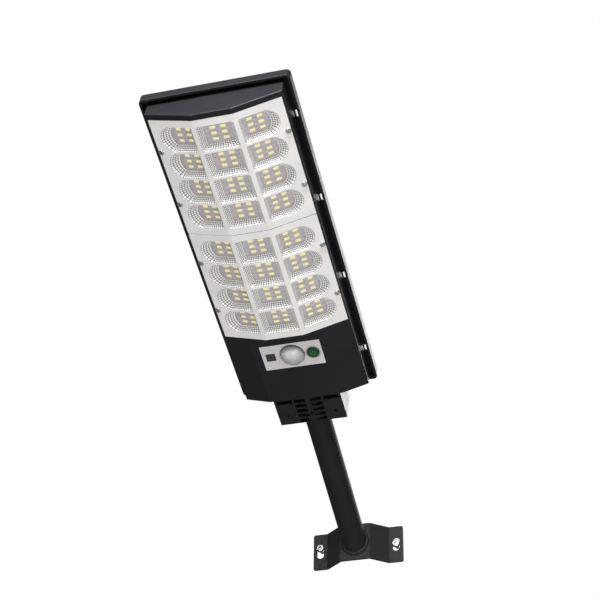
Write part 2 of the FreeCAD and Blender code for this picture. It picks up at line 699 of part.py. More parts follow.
def battery_rows():
    return [BATTERY_Y, BATTERY_Y + CELL_LEN + BATTERY_ROW_GAP]


def strap_rows():
    return [y + CELL_LEN / 2 for y in battery_rows()]


def make_battery_cells():
    cells = []
    for y in battery_rows():
        for side in (-1, 1):
            start = Vector(side * CELL_SPACING / 2, -y, BATTERY_Z)
            can = rod(CELL_R, start, Vector(0, -1, 0), CELL_LEN - 1)
            cap = rod(CELL_R * 0.4, start + Vector(0, -CELL_LEN + 1, 0), Vector(0, -1, 0), 1)
            cells.append(can.fuse(cap).removeSplitter())
    return cells


def make_strap(y):
    """A plastic saddle over two cells, with a foot and a screw hole on each side."""
    half = STRAP_HALF - STRAP_T
    top = STRAP_TOP - STRAP_T
    y0, y1 = y - STRAP_W / 2, y + STRAP_W / 2
    strap = box(-STRAP_HALF, STRAP_HALF, y0, y1, WEB_Z, STRAP_TOP)
    strap = strap.fuse(box(-STRAP_FOOT, STRAP_FOOT, y0, y1, WEB_Z, WEB_Z + STRAP_T)).removeSplitter()
    strap = strap.cut(box(-half, half, y0 - 1, y1 + 1, WEB_Z - 1, top))
    for side in (-1, 1):
        strap = strap.cut(rod(STRAP_SCREW_R, Vector(side * STRAP_SCREW_X, -y, WEB_Z - 1), Vector(0, 0, 1), 9))
    return strap


def make_strap_screw(x, y):
    body = screw(STRAP_SCREW_R * 2, 1.4, STRAP_SCREW_R, STRAP_T + STRAP_BITE - 0.1, 0.7)
    return body.translated(Vector(x, -y, WEB_Z + STRAP_T))


# ---- housing -------------------------------------------------------------------------------


def lens_screw_points():
    """Distance along the side facet and depth from the outer end of each lens screw."""
    u = (LENS_SCREW_X - CENTRE_HALF) / COS_FACET
    return [(u, LENS_START + lens * LENS_L + y) for lens in (0, 1) for y in LENS_SCREW_Y]


def board_screw_rows():
    return [LENS_START + LEDGE_END / 2, LENS_START + LENS_L, LENS_END - LEDGE_END / 2]


def board_screw_points(columns):
    return [(u, y) for u in columns for y in board_screw_rows()]


def facet_pin(radius, u, y, top, bottom):
    """A cylinder square to a flat facet, between two drops below its surface."""
    return rod(radius, Vector(u, -y, -bottom), Vector(0, 0, 1), bottom - top)


def both_sides(shape):
    """A side-facet shape, placed on the right and mirrored to the left."""
    right = on_side(shape)
    return [right, mirrored(right)]


def pcb_screw_points():
    x = PCB_W / 2 - PCB_INSET
    return [(side * x, y) for side in (-1, 1) for y in (PCB_START + PCB_INSET, PCB_START + PCB_L - PCB_INSET)]


def make_housing():
    shell = under_fold(HOUSING_HALF, TOP_CHANNEL, HOUSING_END, 0, FLOOR_T)
    step = LENS_END + 0.6
    high = CREST_Z + 5
    past = HOUSING_END + 1
    profile = [(step - 1, high), (step, CREST_Z), (CONTROL_START, CONTROL_Z), (past, CONTROL_Z), (past, high)]
    wedge = face_of([Vector(-HOUSING_HALF, -y, z) for y, z in profile]).extrude(Vector(HOUSING_W, 0, 0))
    shell = shell.cut(wedge)
    rim = [e for e in shell.Edges if is_outer_rim(e)]
    shell = shell.makeFillet(EDGE_ROUND, rim)
    hollow = under_fold(SIDE_IN, CAVITY_START, CAVITY_END, ROOF_T, 0)
    hollow = hollow.cut(box(-SIDE_IN, SIDE_IN, step - 1, HOUSING_END, CONTROL_CEILING, high))
    shell = shell.cut(hollow)
    shell = shell.cut(folded_plate(LENS_HALF, LENS_START, LENS_END, -5, SEAT_DROP))
    clear = LENS_HALF - LEDGE_W
    for lens in (0, 1):
        y0 = LENS_START + lens * (LENS_L + SEAM_BAR / 2) + (1 - lens) * LEDGE_END
        y1 = LENS_START + (lens + 1) * LENS_L - (1 - lens) * SEAM_BAR / 2 - lens * LEDGE_END
        shell = shell.cut(box(-clear, clear, y0, y1, WEB_Z + 8, high))
    bosses = [make_clamp_front()]
    for u, y in lens_screw_points():
        bosses += both_sides(facet_pin(LENS_SCREW_R + 1.5, u, y, SEAT_DROP + 0.5, BOARD_DROP))
    for u, y in board_screw_points(SIDE_SCREWS):
        bosses += both_sides(facet_pin(BOARD_BOSS_R, u, y, SEAT_DROP + 0.5, BOARD_DROP))
    for x, y in board_screw_points(CENTRE_SCREWS):
        bosses.append(on_centre(facet_pin(BOARD_BOSS_R, x, y, SEAT_DROP + 0.5, BOARD_DROP)))
    for x, y in case_screw_points():
        top = CREST_Z - (x * (1 if x > 0 else -1) - CENTRE_HALF) * SLOPE - ROOF_T
        bosses.append(rod(CASE_BOSS_R, Vector(x, -y, WEB_Z), Vector(0, 0, 1), top - WEB_Z))
    for x, y in pcb_screw_points():
        height = CONTROL_CEILING - PCB_TOP + 0.5
        bosses.append(rod(BOARD_BOSS_R, Vector(x, -y, PCB_TOP), Vector(0, 0, 1), height))
    shell = shell.multiFuse(bosses).removeSplitter()
    holes = []
    for u, y in lens_screw_points():
        holes += both_sides(facet_pin(LENS_SCREW_R, u, y, 0, BOARD_DROP + 1))
    for u, y in board_screw_points(SIDE_SCREWS):
        holes += both_sides(facet_pin(BOARD_SCREW_R, u, y, SEAT_DROP + 1.4, BOARD_DROP + 1))
    for x, y in board_screw_points(CENTRE_SCREWS):
        holes.append(on_centre(facet_pin(BOARD_SCREW_R, x, y, SEAT_DROP + 1.4, BOARD_DROP + 1)))
    for x, y in case_screw_points():
        holes.append(rod(CASE_SCREW_R, Vector(x, -y, WEB_Z - 1), Vector(0, 0, 1), CASE_SCREW_L))
    for x, y in pcb_screw_points():
        holes.append(rod(PCB_SCREW_R, Vector(x, -y, PCB_TOP - 1), Vector(0, 0, 1), 5.5))
    spot = Vector(0, -CONTROL_Y, CONTROL_CEILING - 1)
    up = Vector(0, 0, 1)
    holes.append(rod(DOME_R + FIT_GAP, spot, up, 9))
    holes.append(rod(BUTTON_R + BUTTON_GAP, spot + Vector(BUTTON_X, 0, 0), up, 9))
    holes.append(window_box(FIT_GAP / 2, CONTROL_CEILING - 1, high))
    holes.append(label_box(CONTROL_Z - LABEL_SINK, high, 0.05))
    return shell.cut(Part.makeCompound(holes)).removeSplitter()


def label_box(z0, z1, grow):
    """A slab of the control label's outline."""
    w, l = LABEL_W / 2 + grow, LABEL_L / 2 + grow
    return box(-w, w, CONTROL_Y + 0.5 - l, CONTROL_Y + 0.5 + l, z0, z1)


def is_outer_rim(edge):
    """The outer-end crest and the long edges of the housing's folded roof."""
    spot = edge.CenterOfMass
    at_end = abs(spot.y + TOP_CHANNEL) < 0.01 and spot.z > EDGE_Z - 0.01
    long_side = abs(abs(spot.x) - HOUSING_HALF) < 0.01 and spot.z > EDGE_Z - 0.01
    return at_end or (long_side and edge.Length > HOUSING_W)


# ---- lenses --------------------------------------------------------------------------------
def cup_wire(x0, x1, half, y, h, round_end):
    """A cup's outline at one depth: a rectangle, or one with a half-round outer end."""
    if not round_end:
        corners = [(x0, half), (x1, half), (x1, -half), (x0, -half), (x0, half)]
        return Part.makePolygon([Vector(x, side - y, h) for x, side in corners])
    a, b = Vector(x0, half - y, h), Vector(x1 - half, half - y, h)
    c, d = Vector(x1 - half, -half - y, h), Vector(x0, -half - y, h)
    arc = Part.Arc(b, Vector(x1, -y, h), c).toShape()
    sides = [Part.LineSegment(p, q).toShape() for p, q in ((a, b), (c, d), (d, a))]
    return Part.Wire([sides[0], arc, sides[1], sides[2]])


def cup(y, side, top, bottom, grow):
    """A drafted cup between two drops below the facet, grown sideways by a wall."""
    mouth_half = (CUP_PITCH - CUP_RIB) / 2
    floor_half = CUP_FLOOR_L / 2
    rings = []
    for drop in (top, bottom):
        share = drop / (CUP_DEPTH - CUP_WALL)
        half = mouth_half + (floor_half - mouth_half) * share + grow
        if side:
            x0 = SIDE_CUP_START + (SIDE_FLOOR_START - SIDE_CUP_START) * share - grow
            x1 = SIDE_CUP_END + (SIDE_FLOOR_END - SIDE_CUP_END) * share + grow
        else:
            x1 = CUP_MOUTH_HALF + (CUP_FLOOR_W / 2 - CUP_MOUTH_HALF) * share + grow
            x0 = -x1
        rings.append(cup_wire(x0, x1, half, y, -drop, side))
    return Part.makeLoft(rings, True, True)


def cup_rows(lens):
    start = LENS_START + lens * LENS_L + CUP_FIRST
    return [start + row * CUP_PITCH for row in range(CUP_ROWS)]


def make_lens(lens):
    y0 = LENS_START + lens * LENS_L + (LENS_GAP if lens == 0 else LENS_GAP / 2)
    y1 = LENS_START + (lens + 1) * LENS_L - (LENS_GAP / 2 if lens == 0 else LENS_GAP)
    body = folded_plate(LENS_HALF - LENS_GAP, y0, y1, 0, LENS_T)
    outer, inner = [], []
    for y in cup_rows(lens):
        outer.append(on_centre(cup(y, False, LENS_T - 0.2, CUP_DEPTH, CUP_WALL)))
        inner.append(on_centre(cup(y, False, -0.2, CUP_DEPTH - CUP_WALL, 0)))
        outer += both_sides(cup(y, True, LENS_T - 0.2, CUP_DEPTH, CUP_WALL))
        inner += both_sides(cup(y, True, -0.2, CUP_DEPTH - CUP_WALL, 0))
    body = body.multiFuse(outer).cut(Part.makeCompound(inner))
    holes = []
    for u, y in lens_screw_points()[lens * 2:lens * 2 + 2]:
        holes += both_sides(facet_pin(LENS_SCREW_R + SCREW_GAP, u, y, -1, LENS_T + 1))
    return body.cut(Part.makeCompound(holes)).removeSplitter()


def make_gasket():
    g = LENS_GAP
    seal = folded_plate(LENS_HALF - g, LENS_START + g, LENS_END - g, LENS_T, SEAT_DROP)
    clear = LENS_HALF - LEDGE_W
    for lens in (0, 1):
        y0 = LENS_START + lens * (LENS_L + SEAM_BAR / 2) + (1 - lens) * LEDGE_END
        y1 = LENS_START + (lens + 1) * LENS_L - (1 - lens) * SEAM_BAR / 2 - lens * LEDGE_END
        seal = seal.cut(box(-clear, clear, y0, y1, 0, CREST_Z + 5))
    holes = []
    for u, y in lens_screw_points():
        holes += both_sides(facet_pin(LENS_SCREW_R + SCREW_GAP, u, y, 0, SEAT_DROP + 1))
    return seal.cut(Part.makeCompound(holes))


def make_lens_screws():
    screws = []
    for u, y in lens_screw_points():
        body = screw(LENS_HEAD_R, LENS_HEAD_H, LENS_SCREW_R, LENS_SCREW_L, 0.8)
        screws += both_sides(body.translated(Vector(u, -y, 0)))
    return screws


# ---- light boards --------------------------------------------------------------------------


def make_board(u0, u1, columns):
    """A flat light board with its screw holes, on a flat facet."""
    board = box(u0, u1, BOARD_Y0, BOARD_Y1, -BOARD_DROP - BOARD_T, -BOARD_DROP)
    for u, y in board_screw_points(columns):
        board = board.cut(facet_pin(BOARD_SCREW_R + SCREW_GAP, u, y, 0, BOARD_DROP + BOARD_T + 1))
    return board


def make_chips(u):
    """Two columns of three light chips behind each cup, on a flat facet."""
    chips = []
    for lens in (0, 1):
        for y in cup_rows(lens):
            for column in (-0.5, 0.5):
                for row in (-1, 0, 1):
                    x = u + column * CHIP_SPACING
                    at = y + row * CHIP_PITCH
                    z = -BOARD_DROP
                    x0 = x - CHIP_W / 2
                    y0 = at - CHIP_L / 2
                    chips.append(box(x0, x0 + CHIP_W, y0, y0 + CHIP_L, z, z + CHIP_T))
    return chips


def board_screw(u, y):
    body = screw(BOARD_HEAD_R, BOARD_HEAD_H, BOARD_SCREW_R, BOARD_SCREW_L, 0.7)
    body.rotate(Vector(0, 0, 0), Vector(1, 0, 0), 180)
    return body.translated(Vector(u, -y, -BOARD_DROP - BOARD_T))


def make_board_screws():
    screws = [on_centre(board_screw(x, y)) for x, y in board_screw_points(CENTRE_SCREWS)]
    for u, y in board_screw_points(SIDE_SCREWS):
        screws += both_sides(board_screw(u, y))
    return screws


# ---- control panel -------------------------------------------------------------------------


def at_control(x, z):
    return Vector(x, -CONTROL_Y, z)


def window_box(grow, z0, z1):
    """The receiver window's outline, grown by grow on each side, from z0 to z1."""
    w, l = WINDOW_W / 2 + grow, WINDOW_L / 2 + grow
    return box(-WINDOW_X - w, -WINDOW_X + w, CONTROL_Y - l, CONTROL_Y + l, z0, z1)


def make_label():
    label = label_box(CONTROL_Z - LABEL_SINK, LABEL_TOP, 0)
    upright = [e for e in label.Edges if abs(e.Length - LABEL_T) < 0.001]
    label = label.makeFillet(EDGE_ROUND, upright)
    label = label.cut(rod(DOME_R + FIT_GAP, at_control(0, CONTROL_CEILING), UP, 9))
    label = label.cut(rod(BUTTON_R + BUTTON_GAP, at_control(BUTTON_X, CONTROL_CEILING), UP, 9))
    return label.cut(window_box(FIT_GAP / 2, CONTROL_CEILING, LABEL_TOP + 1))


def dome_solid(radius, height, base):
    """A disc from base up to the label, capped with a part of a sphere."""
    ball_r = (radius * radius + height * height) / (2 * height)
    top = DOME_TOP + height
    ball = Part.makeSphere(ball_r, at_control(0, top - ball_r))
    cap = ball.common(rod(radius, at_control(0, DOME_TOP), UP, height + 1))
    return cap.fuse(rod(radius, at_control(0, base), UP, DOME_TOP - base)).removeSplitter()


def make_dome():
    base = CONTROL_CEILING - DOME_FLANGE
    body = dome_solid(DOME_R, DOME_H, base).fuse(rod(DOME_R + DOME_LIP, at_control(0, base), UP, DOME_FLANGE))
    return body.removeSplitter().cut(dome_solid(DOME_R - DOME_WALL, DOME_H - DOME_WALL, base - 1))


def make_button():
    base = FLANGE_TOP - BUTTON_FLANGE
    cap = rod(BUTTON_R, at_control(BUTTON_X, base), UP, LABEL_TOP + BUTTON_PROUD - base)
    top = [e for e in cap.Edges if e.CenterOfMass.z > LABEL_TOP + BUTTON_PROUD - 0.01]
    cap = cap.makeFillet(0.5, top)
    flange = rod(BUTTON_R + BUTTON_LIP, at_control(BUTTON_X, FLANGE_TOP - BUTTON_FLANGE), UP, BUTTON_FLANGE)
    return cap.fuse(flange).removeSplitter()


def make_plunger():
    base = SWITCH_TOP - BUTTON_TRAVEL - 0.4
    return rod(PLUNGER_R, at_control(BUTTON_X, base), UP, FLANGE_TOP - BUTTON_FLANGE - base)


def make_switch():
    half = SWITCH_SIZE / 2
    body = box(BUTTON_X - half, BUTTON_X + half, CONTROL_Y - half, CONTROL_Y + half, PCB_TOP, SWITCH_TOP)
    well = 2 * BUTTON_TRAVEL + 0.8
    return body.cut(rod(PLUNGER_R + BUTTON_GAP, at_control(BUTTON_X, SWITCH_TOP - well), UP, well + 1))


def make_window():
    """A dark plug, held under the roof by its flange."""
    plug = window_box(0, CONTROL_CEILING - WINDOW_LIP, LABEL_TOP)
    flange = window_box(WINDOW_LIP, CONTROL_CEILING - WINDOW_LIP, CONTROL_CEILING)
    return plug.fuse(flange).removeSplitter()


def make_receiver():
    body = box(-WINDOW_X - 2.8, -WINDOW_X + 2.8, CONTROL_Y - 3.5, CONTROL_Y + 3.5, PCB_TOP, PCB_TOP + 5)
    return body.makeFillet(EDGE_ROUND, [e for e in body.Edges if e.CenterOfMass.z > PCB_TOP + 4.99])


def make_sensor():
    can = rod(SENSOR_R, at_control(0, PCB_TOP), UP, SENSOR_H)
    can = can.makeFillet(0.5, [e for e in can.Edges if e.CenterOfMass.z > PCB_TOP + SENSOR_H - 0.01])
    return can.fuse(rod(SENSOR_R + 0.5, at_control(0, PCB_TOP), UP, 0.5)).removeSplitter()


def make_control_board():
    board = box(-PCB_W / 2, PCB_W / 2, PCB_START, PCB_START + PCB_L, PCB_TOP - PCB_T, PCB_TOP)
    for x, y in pcb_screw_points():
        board = board.cut(rod(PCB_SCREW_R + SCREW_GAP, Vector(x, -y, PCB_TOP - PCB_T - 1), UP, PCB_T + 2))
    return board


def make_components():
    """Lead sockets, a capacitor, a coil and two chips on the board's lower face."""
    z1 = PCB_TOP - PCB_T
    parts = []
    for x in CONNECTOR_X:
        half = CONNECTOR[0] / 2
        shell = box(x - half, x + half, CONNECTOR_Y, CONNECTOR_Y + CONNECTOR[1], z1 - CONNECTOR[2], z1)
        mouth = Vector(x, -CONNECTOR_Y + 1, CONNECTOR_MID_Z)
        parts.append(shell.cut(rod(LEAD_R, mouth, Vector(0, -1, 0), 4)))
    parts.append(rod(CAPACITOR_R, Vector(CAPACITOR_X, -PCB_START - CAPACITOR_Y, z1), -UP, CAPACITOR_H))
    parts.append(rod(COIL_R, Vector(COIL_X, -PCB_START - COIL_Y, z1), -UP, COIL_H))
    for y in IC_ROWS:
        start = PCB_START + y
        parts.append(box(IC_X, IC_X + IC_SIZE, start, start + IC_SIZE, z1 - IC_T, z1))
    return parts


def make_pcb_screw(x, y):
    body = screw(PCB_SCREW_R * 1.9, 1.4, PCB_SCREW_R, PCB_T + 4.4, 0.7)
    body.rotate(Vector(0, 0, 0), Vector(1, 0, 0), 180)
    return body.translated(Vector(x, -y, PCB_TOP - PCB_T))


def make_case_screw(x, y):
    body = flat_screw(CASE_HEAD_R, CASE_HEAD_H, CASE_SCREW_R, CASE_SCREW_L)
    body.rotate(Vector(0, 0, 0), Vector(1, 0, 0), 180)
    return body.translated(Vector(x, -y, POCKET_Z))


def make_panel_lead():
    x = PANEL_LEAD_X
    points = [
        Vector(x, -LEAD_Y, POCKET_Z),
        Vector(x, -LEAD_Y, CONNECTOR_MID_Z),
        Vector(CONNECTOR_X[0], -LEAD_Y - 2 * LEAD_BEND, CONNECTOR_MID_Z),
        Vector(CONNECTOR_X[0], -CONNECTOR_Y - 3, CONNECTOR_MID_Z),
    ]
    return lead(points, LEAD_BEND * 0.6, LEAD_R)


def make_battery_lead():
    x = CONNECTOR_X[1]
    end = battery_rows()[-1] + CELL_LEN
    points = [
        Vector(x, -end, BATTERY_Z),
        Vector(x, -end - 20, BATTERY_Z),
        Vector(x, -end - 40, CONNECTOR_MID_Z),
        Vector(x, -CONNECTOR_Y - 3, CONNECTOR_MID_Z),
    ]
    return lead(points, LEAD_BEND * 2, LEAD_R)


def make_light_lead():
    x = CONNECTOR_X[2]
    top = CREST_Z - BOARD_DROP - BOARD_T
    points = [
        Vector(x, -LEAD_Y + 6, top),
        Vector(x, -LEAD_Y + 6, CONNECTOR_MID_Z),
        Vector(x, -CONNECTOR_Y - 3, CONNECTOR_MID_Z),
    ]
    return lead(points, LEAD_BEND, LEAD_R)


# ---- write every sub-part ------------------------------------------------------------------
save_head("panel_tray", [make_tray()])
save_head("solar_cover_sheet", [panel_box(PANEL_INSET, PANEL_INSET + COVER_T, 0)])
save_head("solar_cells", make_solar_cells())
save_head("solar_backsheet", [panel_box(POCKET_Z - BACKSHEET_T, POCKET_Z, 0)])
save_head("housing", [make_housing()])
save_head("clamp_cover", [make_clamp_cover()])
save_head("clamp_bolts", [make_clamp_bolt(p) for p in bolt_points()])
save_head("clamp_inserts", [make_insert(p) for p in bolt_points()])
save_head("pole_lock_screw", [make_lock_screw()])
save_head("lens_outer", [make_lens(0)])
save_head("lens_inner", [make_lens(1)])
save_head("lens_gasket", [make_gasket()])
save_head("lens_screws", make_lens_screws())

centre_board = on_centre(make_board(-CENTRE_BOARD_HALF, CENTRE_BOARD_HALF, CENTRE_SCREWS))
right_board = on_side(make_board(SIDE_BOARD_START, SIDE_BOARD_END, SIDE_SCREWS))
right_chips = [on_side(chip) for chip in make_chips(SIDE_CHIP_U)]
save_head("light_board_centre", [centre_board])
save_head("light_board_right", [right_board])
save_head("light_board_left", [mirrored(right_board)])
save_head("light_chips_centre", [on_centre(chip) for chip in make_chips(0)])
save_head("light_chips_right", right_chips)
save_head("light_chips_left", [mirrored(chip) for chip in right_chips])
save_head("light_board_screws", make_board_screws())

save_head("control_label", [make_label()])
save_head("sensor_dome", [make_dome()])
save_head("motion_sensor", [make_sensor()])
save_head("power_button", [make_button()])
save_head("switch_plunger", [make_plunger()])
save_head("switch_body", [make_switch()])
save_head("receiver_window", [make_window()])
save_head("remote_receiver", [make_receiver()])
save_head("control_board", [make_control_board()])
save_head("board_components", make_components())
save_head("control_board_screws", [make_pcb_screw(x, y) for x, y in pcb_screw_points()])

save_head("battery_cells", make_battery_cells())
save_head("battery_straps", [make_strap(y) for y in strap_rows()])
strap_screws = [make_strap_screw(side * STRAP_SCREW_X, y) for side in (-1, 1) for y in strap_rows()]
save_head("battery_strap_screws", strap_screws)
save_head("case_screws", [make_case_screw(x, y) for x, y in case_screw_points()])
save_head("panel_lead", [make_panel_lead()])
save_head("battery_lead", [make_battery_lead()])
save_head("light_lead", [make_light_lead()])
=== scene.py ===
"""Solar street lamp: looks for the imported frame, laid out as an add-on and run as a script."""

import json
import math

import bmesh
import bpy
import numpy as np
from mathutils import Matrix, Vector


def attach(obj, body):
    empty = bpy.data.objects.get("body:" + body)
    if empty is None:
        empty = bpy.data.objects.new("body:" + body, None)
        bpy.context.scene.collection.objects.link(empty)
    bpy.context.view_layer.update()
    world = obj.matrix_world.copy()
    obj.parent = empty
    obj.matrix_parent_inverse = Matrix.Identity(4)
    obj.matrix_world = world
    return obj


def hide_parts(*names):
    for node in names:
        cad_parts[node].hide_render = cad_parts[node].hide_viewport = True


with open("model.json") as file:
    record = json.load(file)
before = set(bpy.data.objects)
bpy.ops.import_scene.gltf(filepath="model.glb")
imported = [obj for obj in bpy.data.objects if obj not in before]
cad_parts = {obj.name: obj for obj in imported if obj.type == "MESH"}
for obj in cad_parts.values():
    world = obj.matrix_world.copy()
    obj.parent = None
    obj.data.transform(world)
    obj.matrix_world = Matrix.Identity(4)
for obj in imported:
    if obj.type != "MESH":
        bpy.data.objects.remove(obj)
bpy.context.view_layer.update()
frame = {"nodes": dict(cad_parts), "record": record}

bl_info = {
    "name": "Solar Street Lamp",
    "version": (1, 0, 0),
    "blender": (4, 5, 0),
    "location": "3D View > Sidebar > Lamp",
    "description": "Builds the lenses, light chips, control panel and finishes of a solar street lamp",
    "category": "Add Mesh",
}

# ---- the head's own frame ------------------------------------------------------------------
# X across, Y along the head with 0 at its outer end, Z out of the light side with 0 at the sky side.
MM = 0.001
JOINTS = {j["name"]: j for j in frame["record"]["behaviour"]["joints"]}
INTO_HEAD = np.array(JOINTS["button_press"]["axis"], float)
LIGHT_SIDE = -INTO_HEAD / np.linalg.norm(INTO_HEAD)
OUTWARD = np.array([0.0, LIGHT_SIDE[2], -LIGHT_SIDE[1]])
HEAD_TURN = np.column_stack([np.array([1.0, 0.0, 0.0]), OUTWARD, LIGHT_SIDE])
CLAMP_MOUTH = np.array([0.0, -0.3613, 0.0151])
HEAD_SPOT = np.array(JOINTS["head_swivel"]["pos_m"], float) - HEAD_TURN @ CLAMP_MOUTH
ARM_AXIS = np.array(JOINTS["head_swivel"]["axis"], float)
HEAD_RISE = math.atan2(-LIGHT_SIDE[1], -LIGHT_SIDE[2])
TO_HEAD_TURN = (math.pi + HEAD_RISE, 0.0, 0.0)

# folded roof of the head, in millimetres
FACET = math.radians(19.4)
CENTRE_HALF = 17.9
EDGE_Z = 23.1
HOUSING_HALF = 60.25
CREST_Z = EDGE_Z + (HOUSING_HALF - CENTRE_HALF) * math.tan(FACET)
LENS_START = 11.6
LENS_LENGTH = 119.7
LENS_HALF = 58.75
SIDE_SPAN = (LENS_HALF - CENTRE_HALF) / math.cos(FACET)
LENS_WALL = 0.9
LENS_GAP = 0.42
CUP_ROWS = 4
CUP_PITCH = 26.8
CUP_FIRST = 19.65
CUP_DEPTH = 6.7
CONTROL_Y = 276.7
LABEL_Z = 31.9
BUTTON_X = 20.0
WINDOW_X = -20.7
BOARD_DROP = 8.8
WINDOW_BAR_PITCH = 0.0030
FINGER_PITCH = 0.0019
WINDOW_ROW_START = float((HEAD_TURN.T @ HEAD_SPOT)[1]) - CONTROL_Y * MM


def head_to_row(points):
    """Points in the head's frame, in millimetres, carried to the row frame in metres: turn, then shift."""
    return points * MM @ HEAD_TURN.T + HEAD_SPOT


def facet_to_head(points, side):
    """Points on a flat facet placed on facet -1, 0 or 1.

    A point is u from the fold, its distance from the outer end, and its height above. The side facets turn
    about the fold by the facet angle; the left one is the right one mirrored in X.
    """
    u, y, h = points[..., 0], -points[..., 1], points[..., 2]
    if side == 0:
        return np.stack([u, y, CREST_Z + h], -1)
    x = CENTRE_HALF + u * math.cos(FACET) + h * math.sin(FACET)
    z = CREST_Z - u * math.sin(FACET) + h * math.cos(FACET)
    return np.stack([side * x, y, z], -1)


# ---- meshes --------------------------------------------------------------------------------
def grid_faces(rows, cols, wrap):
    """Quads of a rows by cols grid of points; wrap joins the last column to the first."""
    r = np.arange(rows - 1)[:, None]
    c = np.arange(cols if wrap else cols - 1)[None, :]
    n = (c + 1) % cols
    return np.stack([r * cols + c, r * cols + n, (r + 1) * cols + n, (r + 1) * cols + c], -1).reshape(-1, 4)


def make_object(name, points, faces, materials, slots=None, smooth=True, uvs=None):
    """A mesh object from points and faces, with one material index per face and one UV per corner."""
    mesh = bpy.data.meshes.new(name)
    corners = faces.tolist() if isinstance(faces, np.ndarray) else faces
    mesh.from_pydata(points.reshape(-1, 3).tolist(), [], corners)
    for material in materials:
        mesh.materials.append(material)
    if slots is not None:
        mesh.polygons.foreach_set("material_index", slots.astype(np.int32))
    mesh.polygons.foreach_set("use_smooth", np.full(len(faces), smooth))
    if uvs is not None:
        mesh.uv_layers.new(name="ribs").data.foreach_set("uv", uvs.astype(np.float32).ravel())
    mesh.update()
    piece = bpy.data.objects.new(name, mesh)
    bpy.context.scene.collection.objects.link(piece)
    return piece


def tidy_mesh(piece, merge=0.0, angle=None, outwards=True):
    """Merges doubled points, points a closed mesh's faces outwards and marks edges sharper than angle."""
    work = bmesh.new()
    work.from_mesh(piece.data)
    if merge:
        bmesh.ops.remove_doubles(work, verts=work.verts, dist=merge)
    if outwards:
        bmesh.ops.recalc_face_normals(work, faces=work.faces)
    if angle is not None:
        for edge in work.edges:
            if len(edge.link_faces) == 2:
                edge.smooth = edge.calc_face_angle(0.0) < angle
            else:
                edge.smooth = False
    work.to_mesh(piece.data)
    work.free()


def set_node_material(node, *materials):
    """Gives a carried-over CAD node its finish."""
    data = frame["nodes"][node].data
    data.materials.clear()
    for material in materials:
        data.materials.append(material)


